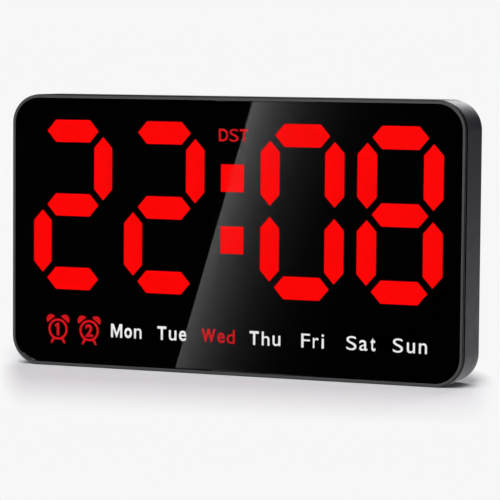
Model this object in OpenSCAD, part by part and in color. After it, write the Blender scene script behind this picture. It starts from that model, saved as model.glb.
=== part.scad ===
// Digital wall clock with a large seven-segment display, back buttons and a fold-out stand leg.
// Each piece is drawn with the clock on its back: x runs to the right, y up the clock, and z from
// the back plane to the front. stand_up() then turns it upright, with its front towards -Y.

/* [Housing] */
// Width of the rear housing
body_w = 245; // [216:1:300]
// Height of the rear housing
body_h = 140; // [124:1:180]
// Depth from the back plane to the front of the rim
body_d = 27; // [26:0.5:36]
// Corner radius of the housing outline
corner_r = 15; // [13:0.5:17]
// Radius along the rear edge of the housing
rear_edge_r = 1.5; // [1:0.25:3]
// Thickness of the side walls
side_wall = 3; // [2.7:0.1:3.6]
// Thickness of the back panel
back_t = 2.5; // [2:0.1:3]
// Thickness of the lip in front of the side walls
lip_t = 1.1; // [1:0.1:1.6]
// Height of that lip
lip_h = 2.5; // [1.5:0.1:4]

/* [Bezel] */
// Step from the housing outline in to the bezel outline
bezel_inset = 0.2; // [0.1:0.1:0.6]
// Width of the rim round the lens
rim_w = 1.5; // [1.3:0.1:2.5]
// Chamfer along the rim's outer front edge
rim_chamfer = 0.4; // [0.2:0.1:0.8]
// Height of the bezel's visible side
skirt_h = 1.2; // [1:0.1:2]
// Width of the shadow groove between the bezel and the housing
groove_w = 1.5; // [0.8:0.1:2]
// Width of the ledge that carries the lens
ledge_w = 3.6; // [2.8:0.1:4]
// Thickness of the ledge
ledge_t = 2.4; // [2:0.1:3]

/* [Lens and mask] */
// Thickness of the front lens
lens_t = 1.6; // [1.2:0.1:2.5]
// Depth of the lens below the rim
lens_recess = 0.2; // [0:0.05:0.5]
// Bevel along the lens's front edge
lens_bevel = 0.3; // [0.1:0.05:0.5]
// Thickness of the mask film
film_t = 0.25; // [0.15:0.05:0.5]
// Ink layer between the film and the lens
ink_gap = 0.1; // [0.05:0.05:0.3]

/* [Display] */
// Hour that is lit
hours = 22; // [0:1:23]
// Minute that is lit
minutes = 8; // [0:1:59]
// Room from the sides of the housing to the digits
digit_side_room = 11.65; // [10.5:0.05:18]
// Room from the top of the housing to the digits
digit_top_room = 12.9; // [12:0.1:18]
// Height of the foot of the digits
digit_foot_y = 39.7; // [38:0.1:46]
// Gap between the two digits of a pair
digit_gap = 6.7; // [6:0.1:12]
// Room for the colon between the two pairs
colon_room = 30.3; // [26:0.1:40]
// Height of a level segment
level_h = 11.5; // [9:0.1:12]
// Length of a level segment's point
level_tip = 5; // [4:0.1:5.5]
// Distance from a level segment's point to the middle line of an upright one
level_tip_room = 2.5; // [2.3:0.05:3.5]
// Width of an upright segment
upright_w = 10.25; // [8:0.05:11]
// Length of an upright segment's point
upright_tip = 5.7; // [4.5:0.1:6]
// Distance from an upright segment's point to the middle line of a level one
upright_tip_room = 2.7; // [2.5:0.05:4]
// Width of a colon dot
colon_w = 12.5; // [9:0.1:13]
// Height of a colon dot
colon_h = 13.8; // [9:0.1:14]
// Height of the middle of the colon over the middle row of segments
colon_rise = 0.4; // [-2:0.1:2]
// Distance between the colon dots, as a share of the digits' height
colon_share = 0.356; // [0.3:0.002:0.4]
// Distance from the left side of the housing to the middle of the first weekday label
label_first_in = 64.7; // [63:0.1:66]
// Distance from the right side of the housing to the middle of the last weekday label
label_last_in = 27.6; // [26:0.1:32]
// Height of the weekday labels
label_y = 19.2; // [18.5:0.1:20.5]
// Gap between the labels' windows
label_gap = 4.95; // [4:0.05:8]
// Height of a label's window
label_h = 10.5; // [9:0.1:11]
// Distance from the left side of the housing to the middle of the first alarm sign
sign_in = 25.8; // [25.5:0.1:26.5]
// Distance between the alarm signs
sign_pitch = 18; // [17.5:0.1:18.5]
// Width of an alarm sign's window
sign_w = 14.6; // [12:0.1:15]
// Height of an alarm sign's window
sign_h = 16.6; // [14:0.1:17]
// Distance from the top of the housing to the middle of the summer-time label
summer_drop = 19.3; // [18:0.1:21]
// Width of the summer-time label's window
summer_w = 17; // [14:0.1:18]
// Height of the summer-time label's window
summer_h = 8.6; // [7:0.1:10]

/* [Reflector and board] */
// Height of the reflector frame, from the board to the mask
reflector_h = 7.35; // [6:0.05:8]
// Wall round the light wells
well_wall = 1.5; // [1:0.1:1.6]
// Thickness of the diffusers
diffuser_t = 1.6; // [1:0.1:1.9]
// Edge of a diffuser that the mask covers
diffuser_lap = 0.4; // [0.2:0.1:0.6]
// Ledge in a light well that carries the diffuser
well_ledge = 0.9; // [0.6:0.1:1.2]
// Thickness of the board
board_t = 1.6; // [1:0.1:2]
// Room from the sides of the housing to the board
board_side_gap = 14.5; // [14:0.1:15]
// Room from the top and bottom of the housing to the board
board_end_gap = 12.2; // [12:0.1:12.6]
// Length of an LED chip
led_l = 3.5; // [2:0.1:3.6]
// Width of an LED chip
led_w = 2.8; // [1.6:0.1:3]
// Height of an LED chip
led_h = 1.9; // [1:0.1:2.2]
// Distance between the two LEDs of a segment
led_pitch = 13; // [9:0.5:14]
// Width of the reflector's tabs behind the bezel's ledge
tab_w = 16; // [10:0.5:20]
// Thickness of those tabs
tab_t = 1.5; // [1:0.1:2]
// Distance of the side tabs from the middle height
side_tab_y = 20; // [16:0.5:30]
// Distance of the top and bottom tabs from the middle of the clock
end_tab_x = 32; // [26:0.5:40]

/* [Screws] */
// Distance of the corner screws from the sides of the housing
corner_screw_in = 10; // [9.8:0.1:10.4]
// Distance of the middle screws from the sides of the housing
mid_screw_side = 62.5; // [60:0.5:65]
// Distance of the middle screws from the top and bottom of the housing
mid_screw_in = 8; // [7.8:0.1:8.3]
// Radius of the screw columns in the housing
column_r = 4.2; // [4:0.1:4.4]
// Radius of the screw bosses on the bezel
boss_r = 3.6; // [3.2:0.1:3.7]
// Length of the bosses
boss_h = 9.8; // [8:0.1:10.5]
// Radius of a housing screw's shank
screw_r = 1.4; // [1.2:0.05:1.6]
// Radius of a housing screw's head
screw_head_r = 2.7; // [2.4:0.1:2.9]
// Height of a housing screw's head
screw_head_h = 2.2; // [1.6:0.1:2.6]
// Plastic under a housing screw's head
screw_seat_t = 3; // [2:0.1:4]
// Length of a housing screw's shank
screw_len = 10; // [8:0.5:10.5]
// Radius of a board screw's shank
board_screw_r = 1; // [0.8:0.05:1.1]
// Radius of a board screw's head
board_screw_head_r = 2; // [1.6:0.1:2.2]
// Height of a board screw's head
board_screw_head_h = 1.3; // [1:0.1:1.6]
// Length of a board screw's shank
board_screw_len = 6; // [5:0.5:6.5]
// Radius of the posts that press on the board
post_r = 2.5; // [2:0.1:3]
// Distance of the upper posts from the middle of the clock
upper_post_x = 28; // [26:0.5:30]
// Distance of the upper posts from the top of the housing
upper_post_drop = 20; // [18:0.5:22]

/* [Stand leg] */
// Height of the leg's foot when it is shut
foot_y = 6; // [5:0.5:8]
// Length of the leg, from the foot to the hinge
leg_len = 84; // [74:0.5:92]
// Width of the leg
leg_w = 36; // [30:0.5:40]
// Thickness of the leg
leg_t = 3; // [2.5:0.1:3.4]
// Depth of the leg's outer face below the back plane
leg_sink = 0.3; // [0.2:0.05:0.6]
// Corner radius at the foot of the leg
leg_corner_r = 4; // [2:0.5:5]
// Radius of the finger cut in the foot of the leg
finger_r = 9; // [8:0.5:10]
// Depth of the finger pocket behind that cut
finger_d = 8; // [7:0.25:9]
// Depth of the panel in the leg's outer face
leg_panel_d = 0.8; // [0.4:0.1:1.2]
// Border round that panel
leg_border = 5; // [4:0.5:7]
// Radius of the hinge barrel
barrel_r = 2.5; // [2.2:0.05:2.8]
// Radius of the hinge pin
pin_r = 1.25; // [1:0.05:1.5]
// Length of the pin in each ear
pin_in_ear = 4; // [3:0.5:5]
// Length of the heel over the hinge, which stops the leg
heel_up = 6.2; // [6:0.1:7]
// Angle at which the heel stops the leg
leg_open = 25; // [20:1:28]
// Wall of the recesses in the back
recess_wall = 2; // [1.6:0.1:2.4]

/* [Buttons] */
// Distance from the side of the housing to the last button
button_in = 28.5; // [26:0.5:31]
// Height of the row of buttons
button_y = 50; // [46:0.5:52]
// Distance between the buttons
button_pitch = 16; // [13:0.5:17]
// Radius of a button cap
button_r = 3.5; // [3:0.1:4]
// Depth of a cap's face below the back plane
button_sink = 0.3; // [0.1:0.05:0.6]
// Radius of the dish in a cap's face
button_dish_r = 14; // [10:0.5:20]
// Depth of that dish
button_dish_d = 0.3; // [0.1:0.05:0.4]
// Radius of the flange behind the back panel
button_flange_r = 4.6; // [4.4:0.1:5.5]
// Thickness of that flange
button_flange_t = 0.8; // [0.6:0.1:1.2]
// Radius of a cap's stem
button_stem_r = 1.6; // [1.2:0.1:1.75]
// Travel of a button
button_travel = 0.5; // [0.2:0.05:0.6]
// Side of a switch body
switch_side = 6; // [5:0.1:7]
// Height of a switch body
switch_h = 3.5; // [3:0.1:4]
// Radius of a switch plunger
plunger_r = 1.75; // [1.4:0.05:2]
// Length of a plunger outside its switch
plunger_out = 1; // [0.8:0.1:1.4]
// Length of a plunger inside its switch
plunger_in = 2.2; // [1.6:0.1:2.4]

// Height of the signs over the buttons
button_sign_rise = 9; // [8:0.5:12]
// Width of the signs
button_sign_w = 4; // [3:0.1:5]
// Depth of the signs in the back
button_sign_d = 0.4; // [0.2:0.1:0.8]

/* [Back-up battery] */
// Distance from the side of the housing to the middle of the battery
cell_in = 50.5; // [46:0.5:56]
// Centre of the battery, up
cell_y = 58; // [54:0.5:62]
// Radius of the coin cell
cell_r = 10; // [8:0.1:10.2]
// Thickness of the coin cell
cell_t = 3.2; // [2:0.1:4]
// Radius of the battery door
door_r = 13; // [12.6:0.1:13.4]
// Thickness of the battery door
door_t = 1.9; // [1.6:0.1:2.2]
// Depth of the door's face below the back plane
door_sink = 0.2; // [0.1:0.05:0.5]
// Length of the door's collar behind its face
collar_h = 1.3; // [1.2:0.1:1.6]
// Wall of the collar
collar_t = 2; // [1.6:0.1:2]
// Reach of the door's two lugs beyond its rim
lug_out = 1.2; // [1:0.1:1.4]
// Width of a lug
lug_angle = 30; // [24:1:34]
// Extra width of the lugs' entries
entry_angle = 6; // [4:1:8]
// Twist that frees the lugs
door_twist = 45; // [42:1:60]
// Length of the coin slot in the door
coin_slot_len = 14; // [10:0.5:18]
// Width of the coin slot
coin_slot_w = 1.8; // [1.4:0.1:2.4]
// Depth of the coin slot
coin_slot_d = 0.9; // [0.5:0.1:1.1]
// Room for the spring contact under the cell
contact_room = 0.8; // [0.7:0.1:1.2]
// Thickness of the contact strip
contact_t = 0.3; // [0.2:0.05:0.35]
// Width of the contact strips
contact_w = 3; // [2:0.1:3.2]
// Room round the cell in its well
well_gap = 0.6; // [0.5:0.05:0.7]

/* [Hangers and power] */
// Distance between the two keyholes
keyhole_pitch = 160; // [150:1:170]
// Distance from the top of the housing to the keyholes' round ends
keyhole_drop = 32; // [30:0.5:34]
// Radius of a keyhole's round end
keyhole_r = 4.5; // [4:0.1:5]
// Width of a keyhole's slot
keyhole_slot_w = 4.6; // [3.6:0.1:5]
// Length of a keyhole's slot, centre to centre
keyhole_slot_len = 8; // [7:0.5:9]
// Depth of the hood behind a keyhole, for the screw head
hood_d = 4.5; // [4:0.1:6]
// Distance from the side of the housing to the middle of the power socket
socket_in = 50.5; // [46:0.5:54]
// Centre of the power socket, up
socket_y = 23; // [21:0.5:26]
// Width of the socket's recess
socket_recess_w = 16; // [14:0.5:18]
// Height of the socket's recess
socket_recess_h = 10; // [8.5:0.5:11]
// Depth of the socket's recess
socket_recess_d = 5; // [4.5:0.25:7]
// Width of the socket's shell
shell_w = 9; // [8.5:0.1:9.5]
// Height of the socket's shell
shell_h = 3.2; // [3:0.1:3.6]
// Sheet thickness of the shell
shell_t = 0.3; // [0.2:0.05:0.4]
// Corner radius of the shell
shell_corner_r = 1.3; // [1:0.1:1.4]

// Number of vents
vent_count = 7; // [3:2:7]
// Distance between the vents
vent_pitch = 6; // [5:0.5:6.5]
// Width of a vent
vent_w = 2; // [1.5:0.1:2.5]
// Length of a vent, as a share of the room between the stand leg and the top
vent_share = 0.37; // [0.2:0.01:0.5]
// Width of the panel for a rating label
rating_w = 46; // [36:0.5:52]
// Height of the panel for a rating label
rating_h = 18; // [12:0.5:20]
// Depth of the panel for a rating label
rating_d = 0.5; // [0.3:0.1:0.8]
// Height of the middle of the panel for a rating label
rating_y = 26; // [25:0.5:28]

/* [Board parts] */
// Centre of the buzzer, across
buzzer_x = -40; // [-46:0.5:-36]
// Distance from the top of the housing to the middle of the buzzer
buzzer_drop = 32; // [30:0.5:36]
// Radius of the buzzer
buzzer_r = 6; // [5:0.1:7]
// Height of the buzzer
buzzer_h = 6.5; // [5:0.1:8]
// Radius of the sound holes in the back panel
sound_hole_r = 0.8; // [0.5:0.1:1]
// Side of the controller chip
chip_side = 10; // [7:0.5:12]
// Height of the chips
chip_h = 1.5; // [1:0.1:2]
// Leads along a side of a chip
lead_count = 10; // [6:1:10]
// Length of a driver chip
driver_l = 13; // [10:0.5:16]
// Width of a driver chip
driver_w = 7.5; // [4:0.5:8]
// Radius of the capacitors
cap_r = 3.15; // [2.5:0.05:4]
// Height of the capacitors
cap_h = 9.5; // [7:0.5:10]
// Distance from the side of the housing to the capacitors
cap_in = 24.5; // [23:0.5:26]
// Centre of the lower capacitor, up
cap_y = 28; // [26:0.5:30]
// Distance between the capacitors
cap_pitch = 12; // [10:0.5:14]
// Distance from the top of the housing to the middle of the controller chip
controller_drop = 34; // [30:0.5:38]
// Distance of the crystal from the middle of the clock
crystal_x = 16; // [14:0.5:18]
// Length of the crystal's can
crystal_l = 10; // [8:0.1:11]
// Width of the crystal's can
crystal_w = 4.2; // [3:0.1:5]
// Height of the crystal's can
crystal_h = 3.4; // [2.5:0.1:4]

/* [Hidden] */
BUTTONS = ["set", "up", "down", "alarm"];
$fn = 64;

// Clearances: a close fit, a sliding fit, a running fit, and free air round a moving piece
fit_gap = 0.1;
slide_gap = 0.08;
run_gap = 0.05;
press_gap = 0.02;
free_gap = 0.4;
// Cuts start and end this far beyond the faces they open
over = 1;

// Levels of the stack behind the rim, from the front to the board
lens_z = body_d - lens_recess - lens_t;
mask_z = lens_z - ink_gap - film_t;
ledge_z = lens_z - ledge_t;
skirt_z = body_d - skirt_h;
lip_z = skirt_z - groove_w;
shoulder_z = lip_z - lip_h;
board_front_z = mask_z - reflector_h;
board_back_z = board_front_z - board_t;
column_z = ledge_z - boss_h;
root_z = back_t / 2;

// Insets from the housing outline
tongue_in = lip_t + fit_gap;
pocket_in = bezel_inset + rim_w;
opening_in = pocket_in + ledge_w;

// Sizes of the digits, which fill the room that the housing leaves them
digit_w = (body_w - 2 * digit_side_room - 2 * digit_gap - colon_room) / 4;
digit_h = body_h - digit_top_room - digit_foot_y;
row_pitch = (digit_h - level_h) / 2;
row_mid_y = digit_foot_y + digit_h / 2;
upright_x = (digit_w - upright_w) / 2;
level_len = 2 * (upright_x - level_tip_room);
upright_len = row_pitch - 2 * upright_tip_room;
inner_digit_x = (colon_room + digit_w) / 2;
outer_digit_x = inner_digit_x + digit_w + digit_gap;
colon_y = row_mid_y + colon_rise;
colon_pitch = digit_h * colon_share;
label_pitch = (body_w - label_first_in - label_last_in) / 6;
label_w = label_pitch - label_gap;

// Places of the digits, labels and signs
DIGIT_X = [-outer_digit_x, -inner_digit_x, inner_digit_x, outer_digit_x];
DIGITS = [floor(hours / 10), hours % 10, floor(minutes / 10), minutes % 10];
LIT = ["abcdef", "bc", "abdeg", "abcdg", "bcfg", "acdfg", "acdefg", "abc", "abcdefg", "abcdfg"];
SEGMENTS = "abcdefg";
LABEL_SPOTS = [
    for (i = [0:6]) [label_first_in - body_w / 2 + i * label_pitch, label_y, label_w, label_h]
];
SIGN_SPOTS = [
    for (i = [0, 1]) [sign_in - body_w / 2 + i * sign_pitch, label_y, sign_w, sign_h]
];
SUMMER_SPOTS = [[0, body_h - summer_drop, summer_w, summer_h]];
WINDOW_SPOTS = concat(LABEL_SPOTS, SIGN_SPOTS, SUMMER_SPOTS);
COLON_SPOTS = [for (s = [-1, 1]) [0, colon_y + s * colon_pitch / 2, colon_w, colon_h]];

// Places of the screws, posts and pieces on the board
CORNER_SCREWS = [
    for (sx = [-1, 1], y = [corner_screw_in, body_h - corner_screw_in])
        [sx * (body_w / 2 - corner_screw_in), y]
];
MID_SCREWS = [
    for (sx = [-1, 1], y = [mid_screw_in, body_h - mid_screw_in]) [sx * (body_w / 2 - mid_screw_side), y]
];
HOUSING_SCREWS = concat(CORNER_SCREWS, MID_SCREWS);
board_screw_x = (inner_digit_x + outer_digit_x) / 2;
BOARD_SCREWS = [
    for (sx = [-1, 1], sy = [-1, 1]) [sx * board_screw_x, row_mid_y + sy * row_pitch / 2]
];
side_post_x = body_w / 2 - board_side_gap - 2 * post_r;
upper_post_y = body_h - upper_post_drop;
POSTS = [
    for (sx = [-1, 1], p = [[side_post_x, row_mid_y], [upper_post_x, upper_post_y]]) [sx * p[0], p[1]]
];
CAPACITORS = [for (i = [0, 1]) [body_w / 2 - cap_in, cap_y + i * cap_pitch]];
CONTROLLER = [0, body_h - controller_drop];
CRYSTAL = [crystal_x, body_h - controller_drop];

// Stand leg and its recess
leg_face_z = leg_sink + leg_t;
hinge_z = leg_sink + barrel_r + fit_gap;
hinge_y = foot_y + leg_len;
heel_swing = sqrt(pow(heel_up, 2) + pow(hinge_z - leg_sink, 2));
leg_floor_z = leg_face_z + free_gap;
heel_floor_z = hinge_z + heel_up * sin(leg_open) + (leg_face_z - hinge_z) * cos(leg_open) + fit_gap;
leg_recess_w = leg_w + 2 * free_gap;
heel_low_y = hinge_y - barrel_r - 2 * free_gap;
heel_top_y = hinge_y + heel_swing + free_gap;
ear_t = pin_in_ear + recess_wall;
pin_len = leg_recess_w + 2 * pin_in_ear;

// Battery door and well
door_back_z = door_sink + door_t;
collar_z = door_back_z + collar_h;
lip_back_z = door_back_z + run_gap;
groove_z = collar_z + fit_gap;
lug_r = door_r + lug_out;
groove_r = lug_r + free_gap;
cell_z = door_back_z + 2 * fit_gap;
well_floor_z = cell_z + cell_t + contact_room;
well_r = cell_r + well_gap;
cup_r = groove_r + recess_wall;
// Where the contacts' legs stand, from the middle of the cell
plus_x = cell_r + run_gap;
minus_x = -cell_r / 2;

// Housing screws, buttons and socket along z
screw_seat_z = column_z - screw_seat_t;
switch_face_z = board_back_z - switch_h;
plunger_z = switch_face_z - plunger_out;
shell_z = socket_recess_d + fit_gap;

// Heights of the keyholes and the buzzer
keyhole_y = body_h - keyhole_drop;
buzzer_y = body_h - buzzer_drop;

// Turns a piece that lies on its back upright, with the base at z = 0 and the middle of its depth at y = 0
module stand_up() {
    translate([0, body_d / 2, 0]) rotate([90, 0, 0]) children();
}

// Moves to the middle of the front face, where the outlines are drawn
module centred() {
    translate([0, body_h / 2, 0]) children();
}

// Outline of a rounded rectangle about its middle
module round_rect(w, h, r) {
    square([w, h - 2 * r], center = true);
    square([w - 2 * r, h], center = true);
    for (sx = [-1, 1], sy = [-1, 1]) translate([sx * (w / 2 - r), sy * (h / 2 - r)]) circle(r);
}

// Straight-sided block with the housing's outline drawn in by inset, from z0 to z1
module inset_block(inset, z0, z1) {
    translate([0, body_h / 2, z0]) linear_extrude(z1 - z0)
        round_rect(body_w - 2 * inset, body_h - 2 * inset, corner_r - inset);
}

// Block with the housing's outline drawn in by inset, whose edge follows the child profile: the profile
// runs outwards from the middle of a corner, and is carried along the sides and round the corners
module profile_block(inset, z0, z1) {
    r = corner_r - inset;
    x = body_w / 2 - corner_r;
    y = body_h / 2 - corner_r;
    centred() {
        translate([-x, -y, z0]) cube([2 * x, 2 * y, z1 - z0]);
        for (turn = [0, 180]) rotate(turn) {
            translate([x, y, 0]) rotate([90, 0, 0]) linear_extrude(2 * y) children();
            translate([-x, y, 0]) rotate([90, 0, 90]) linear_extrude(2 * x) children();
            translate([x, y, 0]) rotate_extrude(angle = 90) children();
            translate([-x, y, 0]) rotate(90) rotate_extrude(angle = 90) children();
        }
    }
}

// Edge profile with a rounded rear corner
module rounded_edge(reach, round_r, z1) {
    difference() {
        square([reach, z1]);
        translate([reach - round_r, 0]) difference() {
            translate([0, -over]) square([round_r + over, round_r + over]);
            translate([0, round_r]) circle(round_r);
        }
    }
}

// Edge profile with a chamfered front corner
module chamfered_edge(reach, chamfer, z0, z1) {
    polygon([[0, z0], [reach, z0], [reach, z1 - chamfer], [reach - chamfer, z1], [0, z1]]);
}

// Outline of a segment with pointed ends, grown all round
module pointed_bar(len, w, tip, grow) {
    l = len / 2 + grow;
    s = w / 2 + grow;
    polygon([[-l, 0], [tip - l, s], [l - tip, s], [l, 0], [l - tip, -s], [tip - l, -s]]);
}

// Place of a named segment about the middle of its digit
function segment_spot(name) =
    name == "a" ? [0, row_pitch] :
    name == "g" ? [0, 0] :
    name == "d" ? [0, -row_pitch] :
    [
        (name == "b" || name == "c") ? upright_x : -upright_x,
        (name == "b" || name == "f") ? row_pitch / 2 : -row_pitch / 2
    ];
function is_level(name) = name == "a" || name == "g" || name == "d";
function is_lit(digit, name) = len(search(name, LIT[DIGITS[digit]])) > 0;

// Outline of a segment about its own middle
module segment_outline(name, grow) {
    if (is_level(name)) pointed_bar(level_len, level_h, level_tip, grow);
    else rotate(90) pointed_bar(upright_len, upright_w, upright_tip, grow);
}

// Puts its child at a named segment of a digit
module at_segment(digit, name) {
    translate([DIGIT_X[digit], row_mid_y, 0]) translate(segment_spot(name)) children();
}

// All the segment windows of the display, grown all round
module segment_windows(grow) {
    for (digit = [0:3], name = SEGMENTS) at_segment(digit, name) segment_outline(name, grow);
}

// Rectangular windows at a list of spots, grown all round
module spot_windows(spots, grow) {
    for (s = spots) translate([s[0], s[1]]) square([s[2] + 2 * grow, s[3] + 2 * grow], center = true);
}

// Rear housing: a tray whose back carries every recess that the user reaches
module rear_housing() {
    color("#3c3d40") stand_up() difference() {
        union() {
            difference() {
                profile_block(0, 0, lip_z) rounded_edge(corner_r, rear_edge_r, lip_z);
                inset_block(side_wall, back_t, shoulder_z + over);
                inset_block(lip_t, shoulder_z, lip_z + over);
            }
            screw_columns();
            board_posts();
            leg_recess_body();
            keyhole_hoods();
            battery_cup();
            socket_recess_body();
        }
        screw_holes();
        leg_recess();
        keyholes();
        battery_well();
        socket_recess();
        button_bores();
        button_signs();
        sound_holes();
        vents();
        rating_panel();
    }
}

// Columns that meet the bezel's bosses
module screw_columns() {
    for (p = HOUSING_SCREWS) translate([p[0], p[1], root_z]) cylinder(r = column_r, h = column_z - root_z);
}

// Counterbores for the screw heads, and the holes for their shanks
module screw_holes() {
    for (p = HOUSING_SCREWS) translate([p[0], p[1], -over]) {
        cylinder(r = screw_head_r + free_gap, h = screw_seat_z + over);
        cylinder(r = screw_r + fit_gap, h = column_z + 2 * over);
    }
}

// Posts that press the board and the reflector frame against the bezel's ledge
module board_posts() {
    for (p = POSTS) translate([p[0], p[1], root_z]) cylinder(r = post_r, h = board_back_z - root_z);
}

// Box in lying coordinates, about the clock's middle line
module mid_box(w, y0, y1, z0, z1) {
    translate([-w / 2, y0, z0]) cube([w, y1 - y0, z1 - z0]);
}

// Walls and floor of the stand leg's recess, with the hinge ears and the finger pocket
module leg_recess_body() {
    foot_low_y = foot_y - free_gap - recess_wall;
    mid_box(leg_recess_w + 2 * recess_wall, foot_low_y, heel_top_y, root_z, leg_floor_z + recess_wall);
    mid_box(
        leg_recess_w + 2 * ear_t, heel_low_y - recess_wall, heel_top_y + recess_wall,
        root_z, heel_floor_z + recess_wall
    );
    mid_box(
        2 * (finger_r + recess_wall), foot_low_y, foot_y + finger_r + recess_wall,
        root_z, finger_d + recess_wall
    );
}

// Recess for the stand leg: the leg's own bed, the heel's pocket, the finger pocket and the pin's bores
module leg_recess() {
    mid_box(leg_recess_w, foot_y - free_gap, heel_top_y, -over, leg_floor_z);
    mid_box(leg_recess_w, heel_low_y, heel_top_y, -over, heel_floor_z);
    mid_box(2 * finger_r, foot_y - free_gap, foot_y + finger_r, -over, finger_d);
    translate([-pin_len / 2 - fit_gap, hinge_y, hinge_z]) rotate([0, 90, 0])
        cylinder(r = pin_r + run_gap, h = pin_len + recess_wall + over);
}

// Box of a keyhole's hood, drawn in by a wall
module hood_box(wall, z0, z1) {
    w = 2 * (keyhole_r + recess_wall) - 2 * wall;
    low = keyhole_y - keyhole_r - recess_wall + wall;
    high = keyhole_y + keyhole_slot_len + keyhole_slot_w / 2 + 2 * recess_wall - wall;
    for (sx = [-1, 1]) translate([sx * keyhole_pitch / 2, 0, 0]) mid_box(w, low, high, z0, z1);
}

module keyhole_hoods() {
    hood_box(0, root_z, back_t + hood_d + recess_wall);
}

// Keyholes: round end, slot, and the room for a screw head behind the panel
module keyholes() {
    hood_box(recess_wall, back_t, back_t + hood_d);
    for (sx = [-1, 1]) translate([sx * keyhole_pitch / 2, keyhole_y, -over]) {
        cylinder(r = keyhole_r, h = back_t + 2 * over);
        translate([-keyhole_slot_w / 2, 0, 0]) cube([keyhole_slot_w, keyhole_slot_len, back_t + 2 * over]);
        translate([0, keyhole_slot_len, 0]) cylinder(r = keyhole_slot_w / 2, h = back_t + 2 * over);
    }
}

module at_cell() {
    translate([cell_in - body_w / 2, cell_y, 0]) children();
}

module battery_cup() {
    at_cell() translate([0, 0, root_z]) cylinder(r = cup_r, h = well_floor_z + recess_wall - root_z);
}

// A pair of opposite ring sectors about the battery, from radius r0 to r1
module sector_pair(r0, r1, z0, z1, angle, turn) {
    for (half = [0, 180]) rotate(half + turn - angle / 2) rotate_extrude(angle = angle)
        translate([r0, z0]) square([r1 - r0, z1 - z0]);
}

// Battery well: the door's seat, the lugs' groove with its two entries, the cell's well and the contact slots
module battery_well() {
    leg_slot_w = contact_w + 2 * fit_gap;
    at_cell() {
        translate([0, 0, -over]) cylinder(r = door_r + slide_gap, h = groove_z + over);
        translate([0, 0, lip_back_z]) cylinder(r = groove_r, h = groove_z - lip_back_z);
        sector_pair(
            door_r - over, groove_r, -over, lip_back_z + fit_gap,
            lug_angle + entry_angle, -door_twist
        );
        translate([0, 0, groove_z - over]) cylinder(r = well_r, h = well_floor_z - groove_z + over);
        for (x = [plus_x, minus_x]) translate([x - fit_gap, -leg_slot_w / 2, well_floor_z - over])
            cube([contact_t + 2 * fit_gap, leg_slot_w, recess_wall + 2 * over]);
    }
}

module at_socket() {
    translate([body_w / 2 - socket_in, socket_y, 0]) children();
}

module socket_recess_body() {
    at_socket() translate([0, 0, root_z]) linear_extrude(socket_recess_d + recess_wall - root_z)
        square([socket_recess_w + 2 * recess_wall, socket_recess_h + 2 * recess_wall], center = true);
}

// Recess for a plug, with the hole that the socket's shell stands in
module socket_recess() {
    at_socket() translate([0, 0, -over]) {
        linear_extrude(socket_recess_d + over) round_rect(socket_recess_w, socket_recess_h, recess_wall);
        linear_extrude(socket_recess_d + recess_wall + 2 * over)
            round_rect(shell_w + 2 * fit_gap, shell_h + 2 * fit_gap, shell_corner_r + fit_gap);
    }
}

module at_button(i) {
    translate([body_w / 2 - button_in - (3 - i) * button_pitch, button_y, 0]) children();
}

module button_bores() {
    for (i = [0:3]) at_button(i) translate([0, 0, -over])
        cylinder(r = button_r + slide_gap, h = back_t + 2 * over);
}

// Sunk signs over the buttons: a square, two arrows and a bell
module button_signs() {
    for (i = [0:3]) at_button(i) translate([0, button_sign_rise, -over])
        linear_extrude(button_sign_d + over) button_sign(i, button_sign_w);
}

module button_sign(i, w) {
    if (i == 0) square([w, w], center = true);
    if (i == 1 || i == 2) rotate(i == 1 ? 0 : 180)
        polygon([[-w / 2, -w / 2], [w / 2, -w / 2], [0, w / 2]]);
    if (i == 3) {
        circle(w / 4);
        polygon([[-w / 2, -w / 2], [w / 2, -w / 2], [w / 4, 0], [-w / 4, 0]]);
    }
}

// Row of upright slots between the stand leg and the top
module vents() {
    low = heel_top_y + recess_wall;
    high = body_h - side_wall;
    for (i = [0:vent_count - 1])
        translate([(i - (vent_count - 1) / 2) * vent_pitch, (low + high) / 2, -over])
            linear_extrude(back_t + 2 * over) square([vent_w, vent_share * (high - low)], center = true);
}

// Shallow panel that a rating label would be stuck in
module rating_panel() {
    translate([cell_in - body_w / 2, rating_y, -over]) linear_extrude(rating_d + over)
        round_rect(rating_w, rating_h, recess_wall);
}

// Ring of small holes over the buzzer
module sound_holes() {
    ring_r = buzzer_r / 2;
    translate([buzzer_x, buzzer_y, -over]) {
        cylinder(r = sound_hole_r, h = back_t + 2 * over);
        for (turn = [0:60:300]) rotate(turn) translate([ring_r, 0, 0])
            cylinder(r = sound_hole_r, h = back_t + 2 * over);
    }
}

// Bezel frame: the rim round the lens, the ledge under it, the tongue in the housing and the screw bosses
module bezel_frame() {
    color("#55575b") stand_up() difference() {
        union() {
            difference() {
                union() {
                    profile_block(bezel_inset, skirt_z, body_d)
                        chamfered_edge(corner_r - bezel_inset, rim_chamfer, skirt_z, body_d);
                    inset_block(tongue_in, shoulder_z, skirt_z);
                }
                inset_block(side_wall, shoulder_z - over, ledge_z);
                inset_block(opening_in, ledge_z - over, body_d + over);
                inset_block(pocket_in, lens_z, body_d + over);
            }
            screw_bosses();
        }
        for (p = HOUSING_SCREWS) translate([p[0], p[1], column_z - over])
            cylinder(r = screw_r + press_gap, h = screw_len - screw_seat_t + 2 * over);
    }
}

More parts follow.
